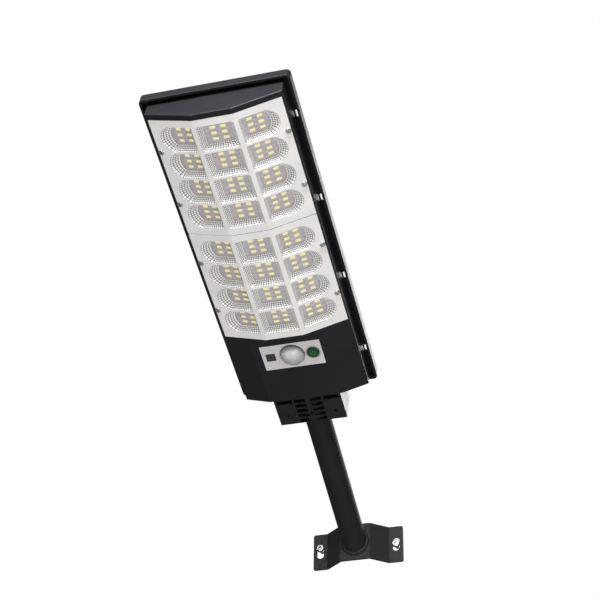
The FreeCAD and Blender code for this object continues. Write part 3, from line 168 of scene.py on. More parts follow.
# ---- materials -----------------------------------------------------------------------------
class Finish:
    """A small builder for node materials with one Principled shader."""

    def __init__(self, name, color, roughness, **sockets):
        self.material = bpy.data.materials.new(name)
        self.material.use_nodes = True
        self.tree = self.material.node_tree
        self.shader = self.tree.nodes["Principled BSDF"]
        self.shader.inputs["Base Color"].default_value = (*color, 1.0)
        self.shader.inputs["Roughness"].default_value = roughness
        for key, value in sockets.items():
            self.shader.inputs[key.replace("_", " ")].default_value = value

    def node(self, kind, **settings):
        """A new node of a kind, with settings such as its operation."""
        made = self.tree.nodes.new(kind)
        for key, value in settings.items():
            setattr(made, key, value)
        return made

    def link(self, a, b):
        """Joins output a to input b."""
        self.tree.links.new(a, b)

    def calc(self, operation, first, second=None):
        """A Math node on an output and, where it needs one, a number or a second output."""
        made = self.node("ShaderNodeMath", operation=operation)
        self.link(first, made.inputs[0])
        if isinstance(second, float):
            made.inputs[1].default_value = second
        elif second is not None:
            self.link(second, made.inputs[1])
        return made.outputs["Value"]

    def split(self, vector):
        """The X, Y and Z outputs of a vector."""
        made = self.node("ShaderNodeSeparateXYZ")
        self.link(vector, made.inputs["Vector"])
        return made.outputs

    def blend(self, factor, low, high):
        """A colour mix; low and high are colours or outputs."""
        made = self.node("ShaderNodeMix", data_type="RGBA")
        self.link(factor, made.inputs["Factor"])
        for socket, color in (("A", low), ("B", high)):
            if isinstance(color, tuple):
                made.inputs[socket].default_value = (*color, 1.0)
            else:
                self.link(color, made.inputs[socket])
        return made.outputs["Result"]

    def coords(self, turn=(0.0, 0.0, 0.0), scale=(1.0, 1.0, 1.0), uv=False):
        """Object or UV coordinates through a Mapping node."""
        source = self.node("ShaderNodeTexCoord").outputs["UV" if uv else "Object"]
        mapping = self.node("ShaderNodeMapping")
        mapping.inputs["Rotation"].default_value = turn
        mapping.inputs["Scale"].default_value = scale
        self.link(source, mapping.inputs["Vector"])
        return mapping.outputs["Vector"]

    def noise(self, scale, detail=3.0, coords=None):
        """Noise on object coordinates, unless others are given."""
        made = self.node("ShaderNodeTexNoise")
        made.inputs["Scale"].default_value = scale
        made.inputs["Detail"].default_value = detail
        self.link(coords or self.coords(), made.inputs["Vector"])
        return made.outputs["Fac"]

    def ramp(self, value, stops):
        """A colour ramp with (place, colour) stops."""
        made = self.node("ShaderNodeValToRGB")
        elements = made.color_ramp.elements
        while len(elements) < len(stops):
            elements.new(0.5)
        for element, (place, color) in zip(elements, stops):
            element.position = place
            element.color = (*color, 1.0)
        self.link(value, made.inputs["Fac"])
        return made.outputs["Color"]

    def spread(self, value, low, high, from_low=0.0, from_high=1.0):
        """A value carried from one range to another."""
        made = self.node("ShaderNodeMapRange")
        made.inputs["From Min"].default_value = from_low
        made.inputs["From Max"].default_value = from_high
        made.inputs["To Min"].default_value = low
        made.inputs["To Max"].default_value = high
        self.link(value, made.inputs["Value"])
        return made.outputs["Result"]

    def bump(self, height, strength, distance, normal=None):
        """A bump into the shader, on top of an earlier bump's normal where one is given."""
        made = self.node("ShaderNodeBump")
        made.inputs["Strength"].default_value = strength
        made.inputs["Distance"].default_value = distance
        self.link(height, made.inputs["Height"])
        if normal is not None:
            self.link(normal, made.inputs["Normal"])
        self.link(made.outputs["Normal"], self.shader.inputs["Normal"])
        return made.outputs["Normal"]

    def glow(self, color, strength):
        """An even emission."""
        self.shader.inputs["Emission Color"].default_value = (*color, 1.0)
        self.shader.inputs["Emission Strength"].default_value = strength

    def tint(self, value, stops):
        """Base colour from a ramp over a value."""
        self.link(self.ramp(value, stops), self.shader.inputs["Base Color"])

    def gloss(self, value, low, high):
        """Roughness between low and high over a value."""
        self.link(self.spread(value, low, high), self.shader.inputs["Roughness"])


def moulded_plastic(name, dark, light, rough):
    """Satin moulded plastic: a fine spark-eroded grain, slow colour drift and a little polish variation."""
    finish = Finish(name, dark, rough, Specular_IOR_Level=0.32)
    finish.tint(finish.noise(9.0, 2.0), [(0.3, dark), (0.7, light)])
    finish.gloss(finish.noise(60.0, 4.0), rough - 0.06, rough + 0.08)
    finish.bump(finish.noise(2600.0, 2.0), 0.22, 0.00005)
    return finish.material


def powder_coat():
    """Black powder coat: a soft orange-peel surface with fine specks of gloss."""
    finish = Finish("arm powder coat", (0.02, 0.02, 0.021), 0.5, Specular_IOR_Level=0.34)
    finish.tint(finish.noise(14.0, 2.0), [(0.3, (0.009, 0.009, 0.0095)), (0.75, (0.018, 0.018, 0.019))])
    finish.gloss(finish.noise(400.0, 3.0), 0.56, 0.72)
    peel = finish.bump(finish.noise(900.0, 1.0), 0.25, 0.00012)
    finish.bump(finish.noise(4200.0, 1.0), 0.15, 0.00004, peel)
    return finish.material


def plated_steel(name, color, rough):
    """Plated steel: faint turning marks and a patchy zinc tone."""
    finish = Finish(name, color, rough, Metallic=1.0)
    deep = tuple(c * 0.72 for c in color)
    finish.tint(finish.noise(700.0, 3.0), [(0.35, deep), (0.65, color)])
    finish.gloss(finish.noise(1500.0, 2.0), rough - 0.07, rough + 0.12)
    finish.bump(finish.noise(3000.0, 2.0), 0.15, 0.00004)
    return finish.material


# painted light: the lens and the light board glow with their own colour, lifting their shade; neither is a
# lamp
LENS_PAINTED_GLOW = 0.30
BOARD_PAINTED_GLOW = 0.12


def lens_white():
    """The prismatic and flat parts of the lens: clear plastic that reads white, lifted by a painted glow.

    Painted shade lines part its ribs: the valleys between ribs are coloured near black. They lie where either
    UV is a whole number, and the ribs are pillowed.
    """
    finish = Finish("lens prism plastic", (0.80, 0.79, 0.79), 0.16, Coat_Weight=0.4, Coat_Roughness=0.06)
    ways = finish.split(finish.coords(uv=True))
    nearest = finish.calc("MINIMUM", *[finish.calc("PINGPONG", ways[axis], 0.5) for axis in ("X", "Y")])
    # painted shade: the rib valleys get a near-black colour
    valley_shade = finish.spread(nearest, 0.0, 1.0, 0.05, 0.15)
    body = finish.ramp(finish.noise(35.0, 2.0), [(0.3, (0.80, 0.79, 0.79)), (0.7, (0.90, 0.885, 0.875))])
    shaded_ribs = finish.blend(valley_shade, (0.10, 0.10, 0.10), body)
    finish.link(shaded_ribs, finish.shader.inputs["Base Color"])
    # painted light: the lens colour also glows, lifting the shade inside the cups
    finish.link(shaded_ribs, finish.shader.inputs["Emission Color"])
    finish.shader.inputs["Emission Strength"].default_value = LENS_PAINTED_GLOW
    finish.gloss(finish.noise(180.0, 2.0), 0.10, 0.24)
    pillow = finish.bump(nearest, 0.5, 0.0005)
    finish.bump(finish.noise(420.0, 1.0), 0.1, 0.0001, pillow)
    return finish.material


def lens_clear():
    """The clear floors of the cups: mostly see-through, with a gloss skin."""
    finish = Finish("lens clear floor", (0.85, 0.83, 0.86), 0.06, Alpha=0.2, Coat_Weight=0.0)
    finish.gloss(finish.noise(90.0, 2.0), 0.04, 0.10)
    finish.bump(finish.noise(160.0, 1.0), 0.1, 0.0001)
    return finish.material


def light_board():
    """White solder mask on aluminium with faint copper tracks and a grey-lilac cast; its colour also glows
    faintly as painted light, though the board is no lamp.
    """
    finish = Finish("light board mask", (0.42, 0.40, 0.44), 0.42)
    brick = finish.node("ShaderNodeTexBrick")
    brick.inputs["Scale"].default_value = 60.0
    brick.inputs["Mortar Size"].default_value = 0.03
    brick.inputs["Color1"].default_value = (0.72, 0.68, 0.71, 1)
    brick.inputs["Color2"].default_value = (0.80, 0.76, 0.78, 1)
    brick.inputs["Mortar"].default_value = (0.60, 0.57, 0.60, 1)
    finish.link(finish.coords(turn=TO_HEAD_TURN), brick.inputs["Vector"])
    finish.link(brick.outputs["Color"], finish.shader.inputs["Base Color"])
    # painted light: the board's own colour is fed to its emission
    finish.link(brick.outputs["Color"], finish.shader.inputs["Emission Color"])
    finish.shader.inputs["Emission Strength"].default_value = BOARD_PAINTED_GLOW
    finish.bump(brick.outputs["Fac"], 0.2, 0.0001)
    return finish.material


def phosphor():
    """Yellow phosphor gel in a light chip: a mottled, slightly waxy yellow, brightened by a weak painted
    glow; the chips are not lit.
    """
    finish = Finish("chip phosphor", (0.86, 0.82, 0.34), 0.35, Subsurface_Weight=0.15)
    finish.shader.inputs["Subsurface Scale"].default_value = 0.0006
    # painted light: a weak glow brightens the yellow
    finish.glow((1.0, 0.93, 0.45), 0.62)
    finish.tint(finish.noise(900.0, 3.0), [(0.3, (0.84, 0.80, 0.32)), (0.7, (0.95, 0.92, 0.52))])
    finish.bump(finish.noise(1800.0, 2.0), 0.2, 0.00005)
    return finish.material


def barred_window():
    """Smoked window plastic with paler bars moulded behind it, each where the place is near a whole pitch."""
    finish = Finish("window smoked plastic", (0.012, 0.011, 0.012), 0.14, Coat_Weight=0.5)
    ways = finish.split(finish.coords(turn=TO_HEAD_TURN))
    half = WINDOW_BAR_PITCH / 2
    near = []
    for axis, start in (("X", WINDOW_X * MM), ("Y", WINDOW_ROW_START)):
        shifted = finish.calc("SUBTRACT", ways[axis], start + half)
        near.append(finish.calc("PINGPONG", shifted, half))
    bars = finish.spread(finish.calc("MINIMUM", *near), 0.0, 1.0, 0.0002, 0.0004)
    finish.link(finish.ramp(bars, [(0.0, (0.11, 0.11, 0.10)), (1.0, (0.012, 0.011, 0.012))]),
                finish.shader.inputs["Base Color"])
    finish.bump(finish.noise(700.0, 2.0), 0.08, 0.00003)
    return finish.material


def plain_plastic(name, color, rough, grain=1500.0, **sockets):
    """Small moulded parts: a quiet colour drift and a fine grain."""
    finish = Finish(name, color, rough, **sockets)
    dark = tuple(c * 0.82 for c in color)
    finish.tint(finish.noise(120.0, 3.0), [(0.3, dark), (0.7, color)])
    finish.gloss(finish.noise(300.0, 2.0), max(rough - 0.05, 0.02), rough + 0.07)
    finish.bump(finish.noise(grain, 2.0), 0.12, 0.00004)
    return finish.material


def silver_label():
    """A silver printed sheet: fine brushed lines across, under a clear skin, kept bright by a faint painted
    glow.
    """
    finish = Finish("control label sheet", (0.94, 0.935, 0.935), 0.34, Coat_Weight=0.3, Coat_Roughness=0.2)
    # painted light: a faint glow keeps the sheet bright
    finish.glow((1.0, 0.99, 0.99), 0.07)
    stretched = finish.coords(turn=TO_HEAD_TURN, scale=(25.0, 900.0, 900.0))
    brushed = finish.noise(1.0, 3.0, stretched)
    finish.tint(brushed, [(0.3, (0.90, 0.895, 0.895)), (0.7, (0.98, 0.975, 0.975))])
    finish.bump(brushed, 0.1, 0.00003)
    return finish.material


def milky_dome():
    """Milky plastic with light passing a little way in, paler towards the crown, with painted shade darkening
    it to near black where the wall turns down to its foot.
    """
    finish = Finish("sensor dome plastic", (0.70, 0.70, 0.72), 0.16, Coat_Weight=0.8, Coat_Roughness=0.04)
    finish.shader.inputs["Subsurface Weight"].default_value = 0.25
    finish.shader.inputs["Subsurface Scale"].default_value = 0.0015
    outward = finish.split(finish.coords(uv=True))["X"]
    # painted shade: the colour darkens to near black towards the dome's foot
    finish.tint(outward, [(0.0, (0.84, 0.84, 0.86)), (0.86, (0.70, 0.70, 0.72)),
                          (0.95, (0.24, 0.24, 0.26)), (1.0, (0.10, 0.10, 0.11))])
    finish.gloss(finish.noise(160.0, 2.0), 0.08, 0.2)
    finish.bump(finish.noise(600.0, 1.0), 0.08, 0.00006)
    return finish.material


def silicon():
    """Dark blue cell silicon: fine silver fingers across each cell and a mottled crystal tone."""
    finish = Finish("cell silicon", (0.012, 0.018, 0.06), 0.22, Coat_Weight=0.6, Coat_Roughness=0.08)
    across = finish.split(finish.coords(turn=TO_HEAD_TURN))["X"]
    wave = finish.calc("SINE", finish.calc("MULTIPLY", across, 2 * math.pi / FINGER_PITCH))
    fingers = finish.spread(wave, 0.0, 1.0, 0.93, 0.985)
    tones = [(0.3, (0.008, 0.013, 0.045)), (0.7, (0.018, 0.026, 0.085))]
    crystal = finish.ramp(finish.noise(45.0, 4.0), tones)
    finish.link(finish.blend(fingers, crystal, (0.34, 0.36, 0.40)), finish.shader.inputs["Base Color"])
    return finish.material


def clear_sheet():
    """The clear laminate over the cells, lightly dimpled."""
    finish = Finish("panel cover sheet", (0.9, 0.93, 0.96), 0.1, Alpha=0.12)
    finish.gloss(finish.noise(240.0, 2.0), 0.06, 0.16)
    finish.bump(finish.noise(1100.0, 1.0), 0.15, 0.00008)
    return finish.material


# ---- lens ----------------------------------------------------------------------------------
# One cup is a stack of rings, each ring SIDE_STEPS points on each of its four sides.
SIDE_STEPS = 28
WALL_RINGS = 21
RIBS_ACROSS = (13, 13)
RIBS_ALONG = 11
RIBS_DOWN = 4.0
RIB_HEIGHT = 0.3
LIP_DROP = 0.12
LENS_SHARP = math.radians(24)
LENS_MERGE = 0.00002
ARC_POWER = 2.4
WALL_POWER = 0.9
SQUARE_CORNER = 0.01
RIM_GAP = 0.1
MOUTH_Y = 12.6
FOOT_Y = 8.8
MOUTH_CORNER = 1.5
FOOT_CORNER = 0.7
CENTRE_MOUTH_U = 16.5
CENTRE_FOOT_U = 12.4
SIDE_MOUTH_U = (3.0, 36.5)
SIDE_FOOT_U = (6.2, 29.4)
MOUTH_BULGE = 8.7
FOOT_BULGE = 3.4
FLOOR_RINGS = ((0.94, 0.0), (0.5, -0.05), (0.04, -0.09))


def ring(low_u, high_u, low_y, high_y, corner):
    """A rounded rectangle as 4 x SIDE_STEPS points, at even shares of the sides -y, +u, +y and -u.

    A square point is pulled in by the corner radius: p = centre + clamp(p - centre) + radius * unit(rest).
    """
    share = np.arange(SIDE_STEPS) / SIDE_STEPS * 2.0 - 1.0
    one = np.ones(SIDE_STEPS)
    square = np.concatenate([
        np.stack([share, -one], -1), np.stack([one, share], -1),
        np.stack([-share, one], -1), np.stack([-one, -share], -1)])
    half = np.array([(high_u - low_u) / 2.0, (high_y - low_y) / 2.0])
    centre = np.array([(high_u + low_u) / 2.0, (high_y + low_y) / 2.0])
    points = square * half
    core = np.clip(points, -(half - corner), half - corner)
    rest = points - core
    length = np.linalg.norm(rest, axis=-1, keepdims=True)
    rounded = core + rest / np.maximum(length, 1e-9) * np.minimum(length, corner)
    return rounded + centre


def d_ring(low_u, high_u, low_y, high_y, corner, bulge):
    """A ring whose far side (+u) swells into an arc.

    u moves in by bulge * (2|y - middle| / width) ^ 2.4, times the square of how far across the point lies.
    """
    points = ring(low_u, high_u, low_y, high_y, corner)
    middle = (low_y + high_y) / 2.0
    across = np.abs(points[:, 1] - middle) * 2.0 / (high_y - low_y)
    reach = np.clip((points[:, 0] - low_u) / (high_u - low_u), 0.0, 1.0)
    points[:, 0] -= bulge * across ** ARC_POWER * reach ** 2
    return points


def ribs(down):
    """Rib heights down the wall: |sin(pi * count * share)|, so each valley lies on a whole number of ribs."""
    return RIB_HEIGHT * np.abs(np.sin(math.pi * RIBS_DOWN * down))


def cup_rings(side, middle):
    """The rings of one cell on a facet, from the cell's edge over the rim and down the wall to the floor."""
    half_y = CUP_PITCH / 2.0
    mouth_y = (middle - MOUTH_Y, middle + MOUTH_Y)
    rim_y = (mouth_y[0] - RIM_GAP, mouth_y[1] + RIM_GAP)
    foot_y = (middle - FOOT_Y, middle + FOOT_Y)
    rim_corner = MOUTH_CORNER + RIM_GAP
    if side == 0:
        rim_u = CENTRE_MOUTH_U + RIM_GAP
        edge = ring(-CENTRE_HALF, CENTRE_HALF, middle - half_y, middle + half_y, SQUARE_CORNER)
        rim = ring(-rim_u, rim_u, *rim_y, rim_corner)
        mouth = ring(-CENTRE_MOUTH_U, CENTRE_MOUTH_U, *mouth_y, MOUTH_CORNER)
        foot = ring(-CENTRE_FOOT_U, CENTRE_FOOT_U, *foot_y, FOOT_CORNER)
    else:
        edge = ring(0.0, SIDE_SPAN, middle - half_y, middle + half_y, SQUARE_CORNER)
        rim_u = (SIDE_MOUTH_U[0] - RIM_GAP, SIDE_MOUTH_U[1] + RIM_GAP)
        rim = d_ring(*rim_u, *rim_y, rim_corner, MOUTH_BULGE + RIM_GAP)
        mouth = d_ring(*SIDE_MOUTH_U, *mouth_y, MOUTH_CORNER, MOUTH_BULGE)
        foot = d_ring(*SIDE_FOOT_U, *foot_y, FOOT_CORNER, FOOT_BULGE)
    down = np.linspace(0.0, 1.0, WALL_RINGS)
    wall = mouth[None] * (1 - down)[:, None, None] + foot[None] * down[:, None, None]
    depth = np.repeat((-CUP_DEPTH * down ** WALL_POWER)[:, None], 4 * SIDE_STEPS, axis=1)
    inward = (foot - mouth) / np.maximum(np.linalg.norm(foot - mouth, axis=-1, keepdims=True), 1e-9)
    wall = wall + inward[None] * ribs(down)[:, None, None]
    layers = [np.concatenate([edge, np.zeros((len(edge), 1))], -1),
              np.concatenate([rim, np.zeros((len(rim), 1))], -1)]
    shallow = np.concatenate([mouth, np.full((len(mouth), 1), -LIP_DROP)], -1)
    layers.append(shallow)
    wall_points = np.concatenate([wall, depth[..., None] - LIP_DROP], -1)
    layers.extend(wall_points[1:])
    heart = foot.mean(0)
    for share, rise in FLOOR_RINGS:
        shrunk = heart + (foot - heart) * share
        layers.append(np.concatenate([shrunk, np.full((len(foot), 1), -CUP_DEPTH - LIP_DROP + rise)], -1))
    return np.stack(layers)


def band(low_u, high_u, low_y, high_y):
    """A flat strip of the facet, with as many steps across as a cell has, so that their edges meet."""
    u, y = np.meshgrid(np.linspace(low_u, high_u, SIDE_STEPS + 1), [low_y, high_y])
    return np.stack([u, y, np.zeros_like(u)], -1)


def facing(quads, side):
    """Faces turned to look out of the lamp: the head's Y runs backwards, and the left facet is mirrored."""
    return quads if side == -1 else quads[:, ::-1]


def rib_uvs(cell, side):
    """Corner UVs of a cell: on the wall, whole numbers are rib lines, which the lens colour paints with
    shade; elsewhere both stay at a half.

    Round the ring, U counts ribs evenly spaced along each side; down the wall, V counts the rows of ribs.
    """
    rows, cols = cell.shape[:2]
    r = np.arange(rows - 1)[:, None] * np.ones((1, cols), int)
    c = np.arange(cols)[None, :] * np.ones((rows - 1, 1), int)
    corner_r = np.stack([r, r, r + 1, r + 1], -1)
    corner_c = np.stack([c, c + 1, c + 1, c], -1)
    side_ribs = np.where((c // SIDE_STEPS) % 2 == 0, RIBS_ACROSS[side != 0], RIBS_ALONG)[..., None]
    share = corner_c / SIDE_STEPS - (c // SIDE_STEPS)[..., None]
    u = share * side_ribs
    v = (corner_r - 2) / (WALL_RINGS - 1.0) * RIBS_DOWN
    on_wall = ((r >= 2) & (r < 1 + WALL_RINGS))[..., None]
    u = np.where(on_wall, u, 0.5)
    v = np.where(on_wall, v, 0.5)
    uvs = np.stack([u, v], -1).reshape(-1, 4, 2)
    return uvs if side == -1 else uvs[:, ::-1]


def make_lens(name, start, node):
    """One moulded lens: three folded facets, four cups on each, closed by a Solidify towards the sky side.

    Each facet is a union of cell grids (rings by share round the ring) and flat end strips, carried onto the
    folded roof by the facet turn; coincident edges are merged.
    """
    points, faces, slots, uvs = [], [], [], []
    count = 0
    first_edge = CUP_FIRST - CUP_PITCH / 2.0
    last_edge = first_edge + CUP_ROWS * CUP_PITCH
    for side in (-1, 0, 1):
        low_u, high_u = (-CENTRE_HALF, CENTRE_HALF) if side == 0 else (0.0, SIDE_SPAN)
        for row in range(CUP_ROWS):
            cell = cup_rings(side, start + CUP_FIRST + row * CUP_PITCH)
            rows, cols = cell.shape[:2]
            quads = grid_faces(rows, cols, True)
            points.append(facet_to_head(cell, side).reshape(-1, 3))
            faces.append(facing(quads, side) + count)
            uvs.append(rib_uvs(cell, side))
            ring_of = np.repeat(np.arange(rows - 1), cols)
            slots.append(np.where(ring_of >= rows - 1 - len(FLOOR_RINGS), 1, 0))
            count += rows * cols
        for low, high in ((LENS_GAP, first_edge), (last_edge, LENS_LENGTH - LENS_GAP)):
            strip = band(low_u, high_u, start + low, start + high)
            points.append(facet_to_head(strip, side).reshape(-1, 3))
            faces.append(facing(grid_faces(2, SIDE_STEPS + 1, False), side) + count)
            slots.append(np.zeros(SIDE_STEPS, int))
            uvs.append(np.full((SIDE_STEPS, 4, 2), 0.5))
            count += strip.size // 3
    materials = [MATERIALS["lens_white"], MATERIALS["lens_clear"]]
    piece = make_object(name, head_to_row(np.concatenate(points)), np.concatenate(faces), materials,
                        np.concatenate(slots), uvs=np.concatenate(uvs))
    tidy_mesh(piece, merge=LENS_MERGE, angle=LENS_SHARP, outwards=False)
    solid = piece.modifiers.new("wall", "SOLIDIFY")
    solid.thickness = LENS_WALL * MM
    solid.offset = -1.0
    solid.use_even_offset = False
    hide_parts(node)
    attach(piece, "head")
    return piece


# ---- light chips ---------------------------------------------------------------------------
CHIP = (5.6, 3.2, 0.75)
CHIP_GAPS = (9.4, 5.6)
CHIP_WINDOW = 0.86
CHIP_HOLLOW = 0.18
CHIP_SHOULDER = 0.9
CHIP_TOP = 0.97
CHIP_LIP = 0.06
CHIP_COLS = (-1, 1)
CHIP_ROWS = (-1, 0, 1)
SIDE_CHIP_U = 17.2


def chip_shape():
    """One chip about its own foot: a block, a sloped window cut in its top, and a gel pad in the window.

    Rings: foot, shoulder, top edge, window lip, window foot, gel; each has four corners.
    """
    w, l, h = CHIP
    corners = np.array([[-0.5, -0.5], [0.5, -0.5], [0.5, 0.5], [-0.5, 0.5]])
    size = np.array([w, l])
    layers = [(1.0, 0.0), (1.0, h * CHIP_SHOULDER), (CHIP_TOP, h), (CHIP_WINDOW + CHIP_LIP, h),
              (CHIP_WINDOW, h - CHIP_HOLLOW), (CHIP_WINDOW * 0.5, h - CHIP_HOLLOW * 0.5)]
    points = np.stack([np.concatenate([corners * size * s, np.full((4, 1), z)], -1) for s, z in layers])
    quads = grid_faces(len(layers), 4, True)
    top = 4 * (len(layers) - 1)
    quads = np.concatenate([quads, [[top, top + 1, top + 2, top + 3], [3, 2, 1, 0]]])
    slots = np.zeros(len(quads), int)
    slots[-6:-1] = 1
    return points.reshape(-1, 3), quads, slots


def make_chips(name, side, node):
    """Chips of one board: six per cup (two across, three along), each a placed copy of the chip shape."""
    shape, quads, shape_slots = chip_shape()
    points, faces, slots = [], [], []
    for lens in (0, 1):
        for row in range(CUP_ROWS):
            middle = LENS_START + lens * LENS_LENGTH + CUP_FIRST + row * CUP_PITCH
            for across in CHIP_COLS:
                for along in CHIP_ROWS:
                    u = (0.0 if side == 0 else SIDE_CHIP_U) + across * CHIP_GAPS[0] / 2.0
                    shift = np.array([u, middle + along * CHIP_GAPS[1], -BOARD_DROP])
                    faces.append(quads + len(points) * len(shape))
                    points.append(facet_to_head(shape + shift, side))
                    slots.append(shape_slots)
    materials = [MATERIALS["chip_frame"], MATERIALS["phosphor"]]
    piece = make_object(name, head_to_row(np.concatenate(points)), np.concatenate(faces), materials,
                        np.concatenate(slots), smooth=False)
    tidy_mesh(piece)
    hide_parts(node)
    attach(piece, "head")
    return piece


# ---- control panel -------------------------------------------------------------------------
DOME_R = 11.6
DOME_H = 7.0
DOME_RINGS = 40
DOME_TURNS = 96
DOME_CELLS = 12
DOME_CELL_ROWS = 3
DOME_BULGE = 0.16
DOME_SKIRT = 1.9
DOME_WALL = 0.7
MARK_Z = 1.38
MARK_RING_R = 2.15
MARK_BAR = (0.35, 2.9)
MARK_WIRE_R = 0.34
MARK_STEPS = 10
MARK_FLATNESS = 0.35
RING_TURNS = 72
RING_SINK = 0.02
RING_PROFILE = ((6.35, 0.0), (6.35, 0.10), (6.55, 0.16), (7.15, 0.16), (7.35, 0.10), (7.35, 0.0))


def on_label(x, y, z):
    """A point of the control panel, x across, y along from the panel's middle, z above the label's face."""
    return np.stack([x, -(CONTROL_Y + y) * np.ones_like(x), LABEL_Z + z], -1)


def make_dome():
    """The sensor's dome: a part of a sphere over a short skirt, with rows of shallow lens cells on it.

    Radius against height follows the sphere; each cell bulges by |sin| of the turn times |sin| of the rise.
    """
    ball = (DOME_R ** 2 + DOME_H ** 2) / (2 * DOME_H)
    tilt = np.linspace(0.0, math.asin(DOME_R / ball), DOME_RINGS)[::-1]
    turn = np.arange(DOME_TURNS) / DOME_TURNS * 2 * math.pi
    rise = (1.0 - tilt / tilt.max())[:, None]
    ripple = np.abs(np.sin(turn * DOME_CELLS / 2))[None, :] * np.abs(np.sin(rise * math.pi * DOME_CELL_ROWS))
    reach = ball - DOME_BULGE + ripple * DOME_BULGE
    radius = reach * np.sin(tilt)[:, None]
    height = reach * np.cos(tilt)[:, None] - (ball - DOME_H)
    x = radius * np.cos(turn)
    y = radius * np.sin(turn)
    skirt_x = (DOME_R * np.cos(turn))[None, :]
    skirt_y = (DOME_R * np.sin(turn))[None, :]
    rows_x = np.concatenate([skirt_x, x])
    rows_y = np.concatenate([skirt_y, y])
    rows_z = np.concatenate([np.full((1, DOME_TURNS), -DOME_SKIRT), height])
    points = on_label(rows_x, rows_y, rows_z)
    faces = grid_faces(DOME_RINGS + 1, DOME_TURNS, True)
    # UV X is the distance out from the middle, which drives the dome's painted shade at its foot
    outward = np.hypot(rows_x, rows_y).ravel() / DOME_R
    uvs = np.stack([outward, np.zeros_like(outward)], -1)[faces]
    piece = make_object("sensor_dome_lens", head_to_row(points), faces, [MATERIALS["dome"]], uvs=uvs)
    tidy_mesh(piece, merge=0.000005, angle=math.radians(30), outwards=False)
    solid = piece.modifiers.new("wall", "SOLIDIFY")
    solid.thickness = DOME_WALL * MM
    solid.offset = -1.0
    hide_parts("sensor_dome")
    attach(piece, "head")
    return piece


def tube_points(path, radius, steps):
    """A flattened tube along a path of points: each ring lies across the path's own direction."""
    ahead = np.gradient(path, axis=0)
    ahead /= np.linalg.norm(ahead, axis=1, keepdims=True)
    up = np.array([0.0, 0.0, 1.0])
    side = np.cross(ahead, up)
    side /= np.linalg.norm(side, axis=1, keepdims=True)
    turn = np.arange(steps) / steps * 2 * math.pi
    offset = side[:, None] * np.cos(turn)[None, :, None] + up * np.sin(turn)[None, :, None] * MARK_FLATNESS
    return path[:, None] + offset * radius


def capped_tube(path, radius, steps):
    """Points and faces of a tube with flat ends."""
    rings = tube_points(path, radius, steps)
    quads = grid_faces(len(path), steps, True).tolist()
    last = (len(path) - 1) * steps
    quads.append(list(range(steps - 1, -1, -1)))
    quads.append([last + i for i in range(steps)])
    return rings.reshape(-1, 3), quads


def make_icon():
    """The raised on-off mark on the button: a broken ring (angle from 35 to 325 degrees) and a short bar."""
    angle = np.radians(np.linspace(35.0, 325.0, 49))
    arc = np.stack([MARK_RING_R * np.sin(angle), MARK_RING_R * np.cos(angle), np.zeros_like(angle)], -1)
    bar = np.stack([np.zeros(5), np.linspace(*MARK_BAR, 5), np.zeros(5)], -1)
    ring_points, ring_quads = capped_tube(arc, MARK_WIRE_R, MARK_STEPS)
    bar_points, bar_quads = capped_tube(bar, MARK_WIRE_R, MARK_STEPS)
    points = np.concatenate([ring_points, bar_points])
    quads = ring_quads + [[i + len(ring_points) for i in q] for q in bar_quads]
    placed = on_label(BUTTON_X + points[:, 0], -points[:, 1], MARK_Z + points[:, 2])
    piece = make_object("power_mark", head_to_row(placed), quads, [MATERIALS["mark_green"]])
    tidy_mesh(piece, angle=math.radians(50))
    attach(piece, "button")
    return piece


def make_button_ring():
    """The pale ring round the button: a low outline with bevelled edges, swept round the button's middle."""
    turn = np.arange(RING_TURNS) / RING_TURNS * 2 * math.pi
    profile = np.array(RING_PROFILE)
    radius, height = profile[:, :1], profile[:, 1:] * np.ones_like(turn) - RING_SINK
    points = on_label(BUTTON_X + radius * np.cos(turn), radius * np.sin(turn), height)
    quads = grid_faces(len(profile), RING_TURNS, True)
    last = (len(profile) - 1) * RING_TURNS
    here = np.arange(RING_TURNS)
    ahead = (here + 1) % RING_TURNS
    foot = np.stack([here, last + here, last + ahead, ahead], -1)
    faces = np.concatenate([quads, foot])
    piece = make_object("button_ring", head_to_row(points), faces, [MATERIALS["ring_white"]])
    tidy_mesh(piece, angle=math.radians(40))
    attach(piece, "head")
    return piece


# ---- arm -----------------------------------------------------------------------------------
ARM_R = 12.5
FACE_Y = -16.3
ARM_FOOT = np.array([0.0, FACE_Y, 0.0])
WELD_STEPS = 240
WELD_PROFILE = 14
WELD_SIZE = 2.1
WELD_SINK = 0.35
BEHIND_FACE = np.array([0.0, 0.3, 0.0])


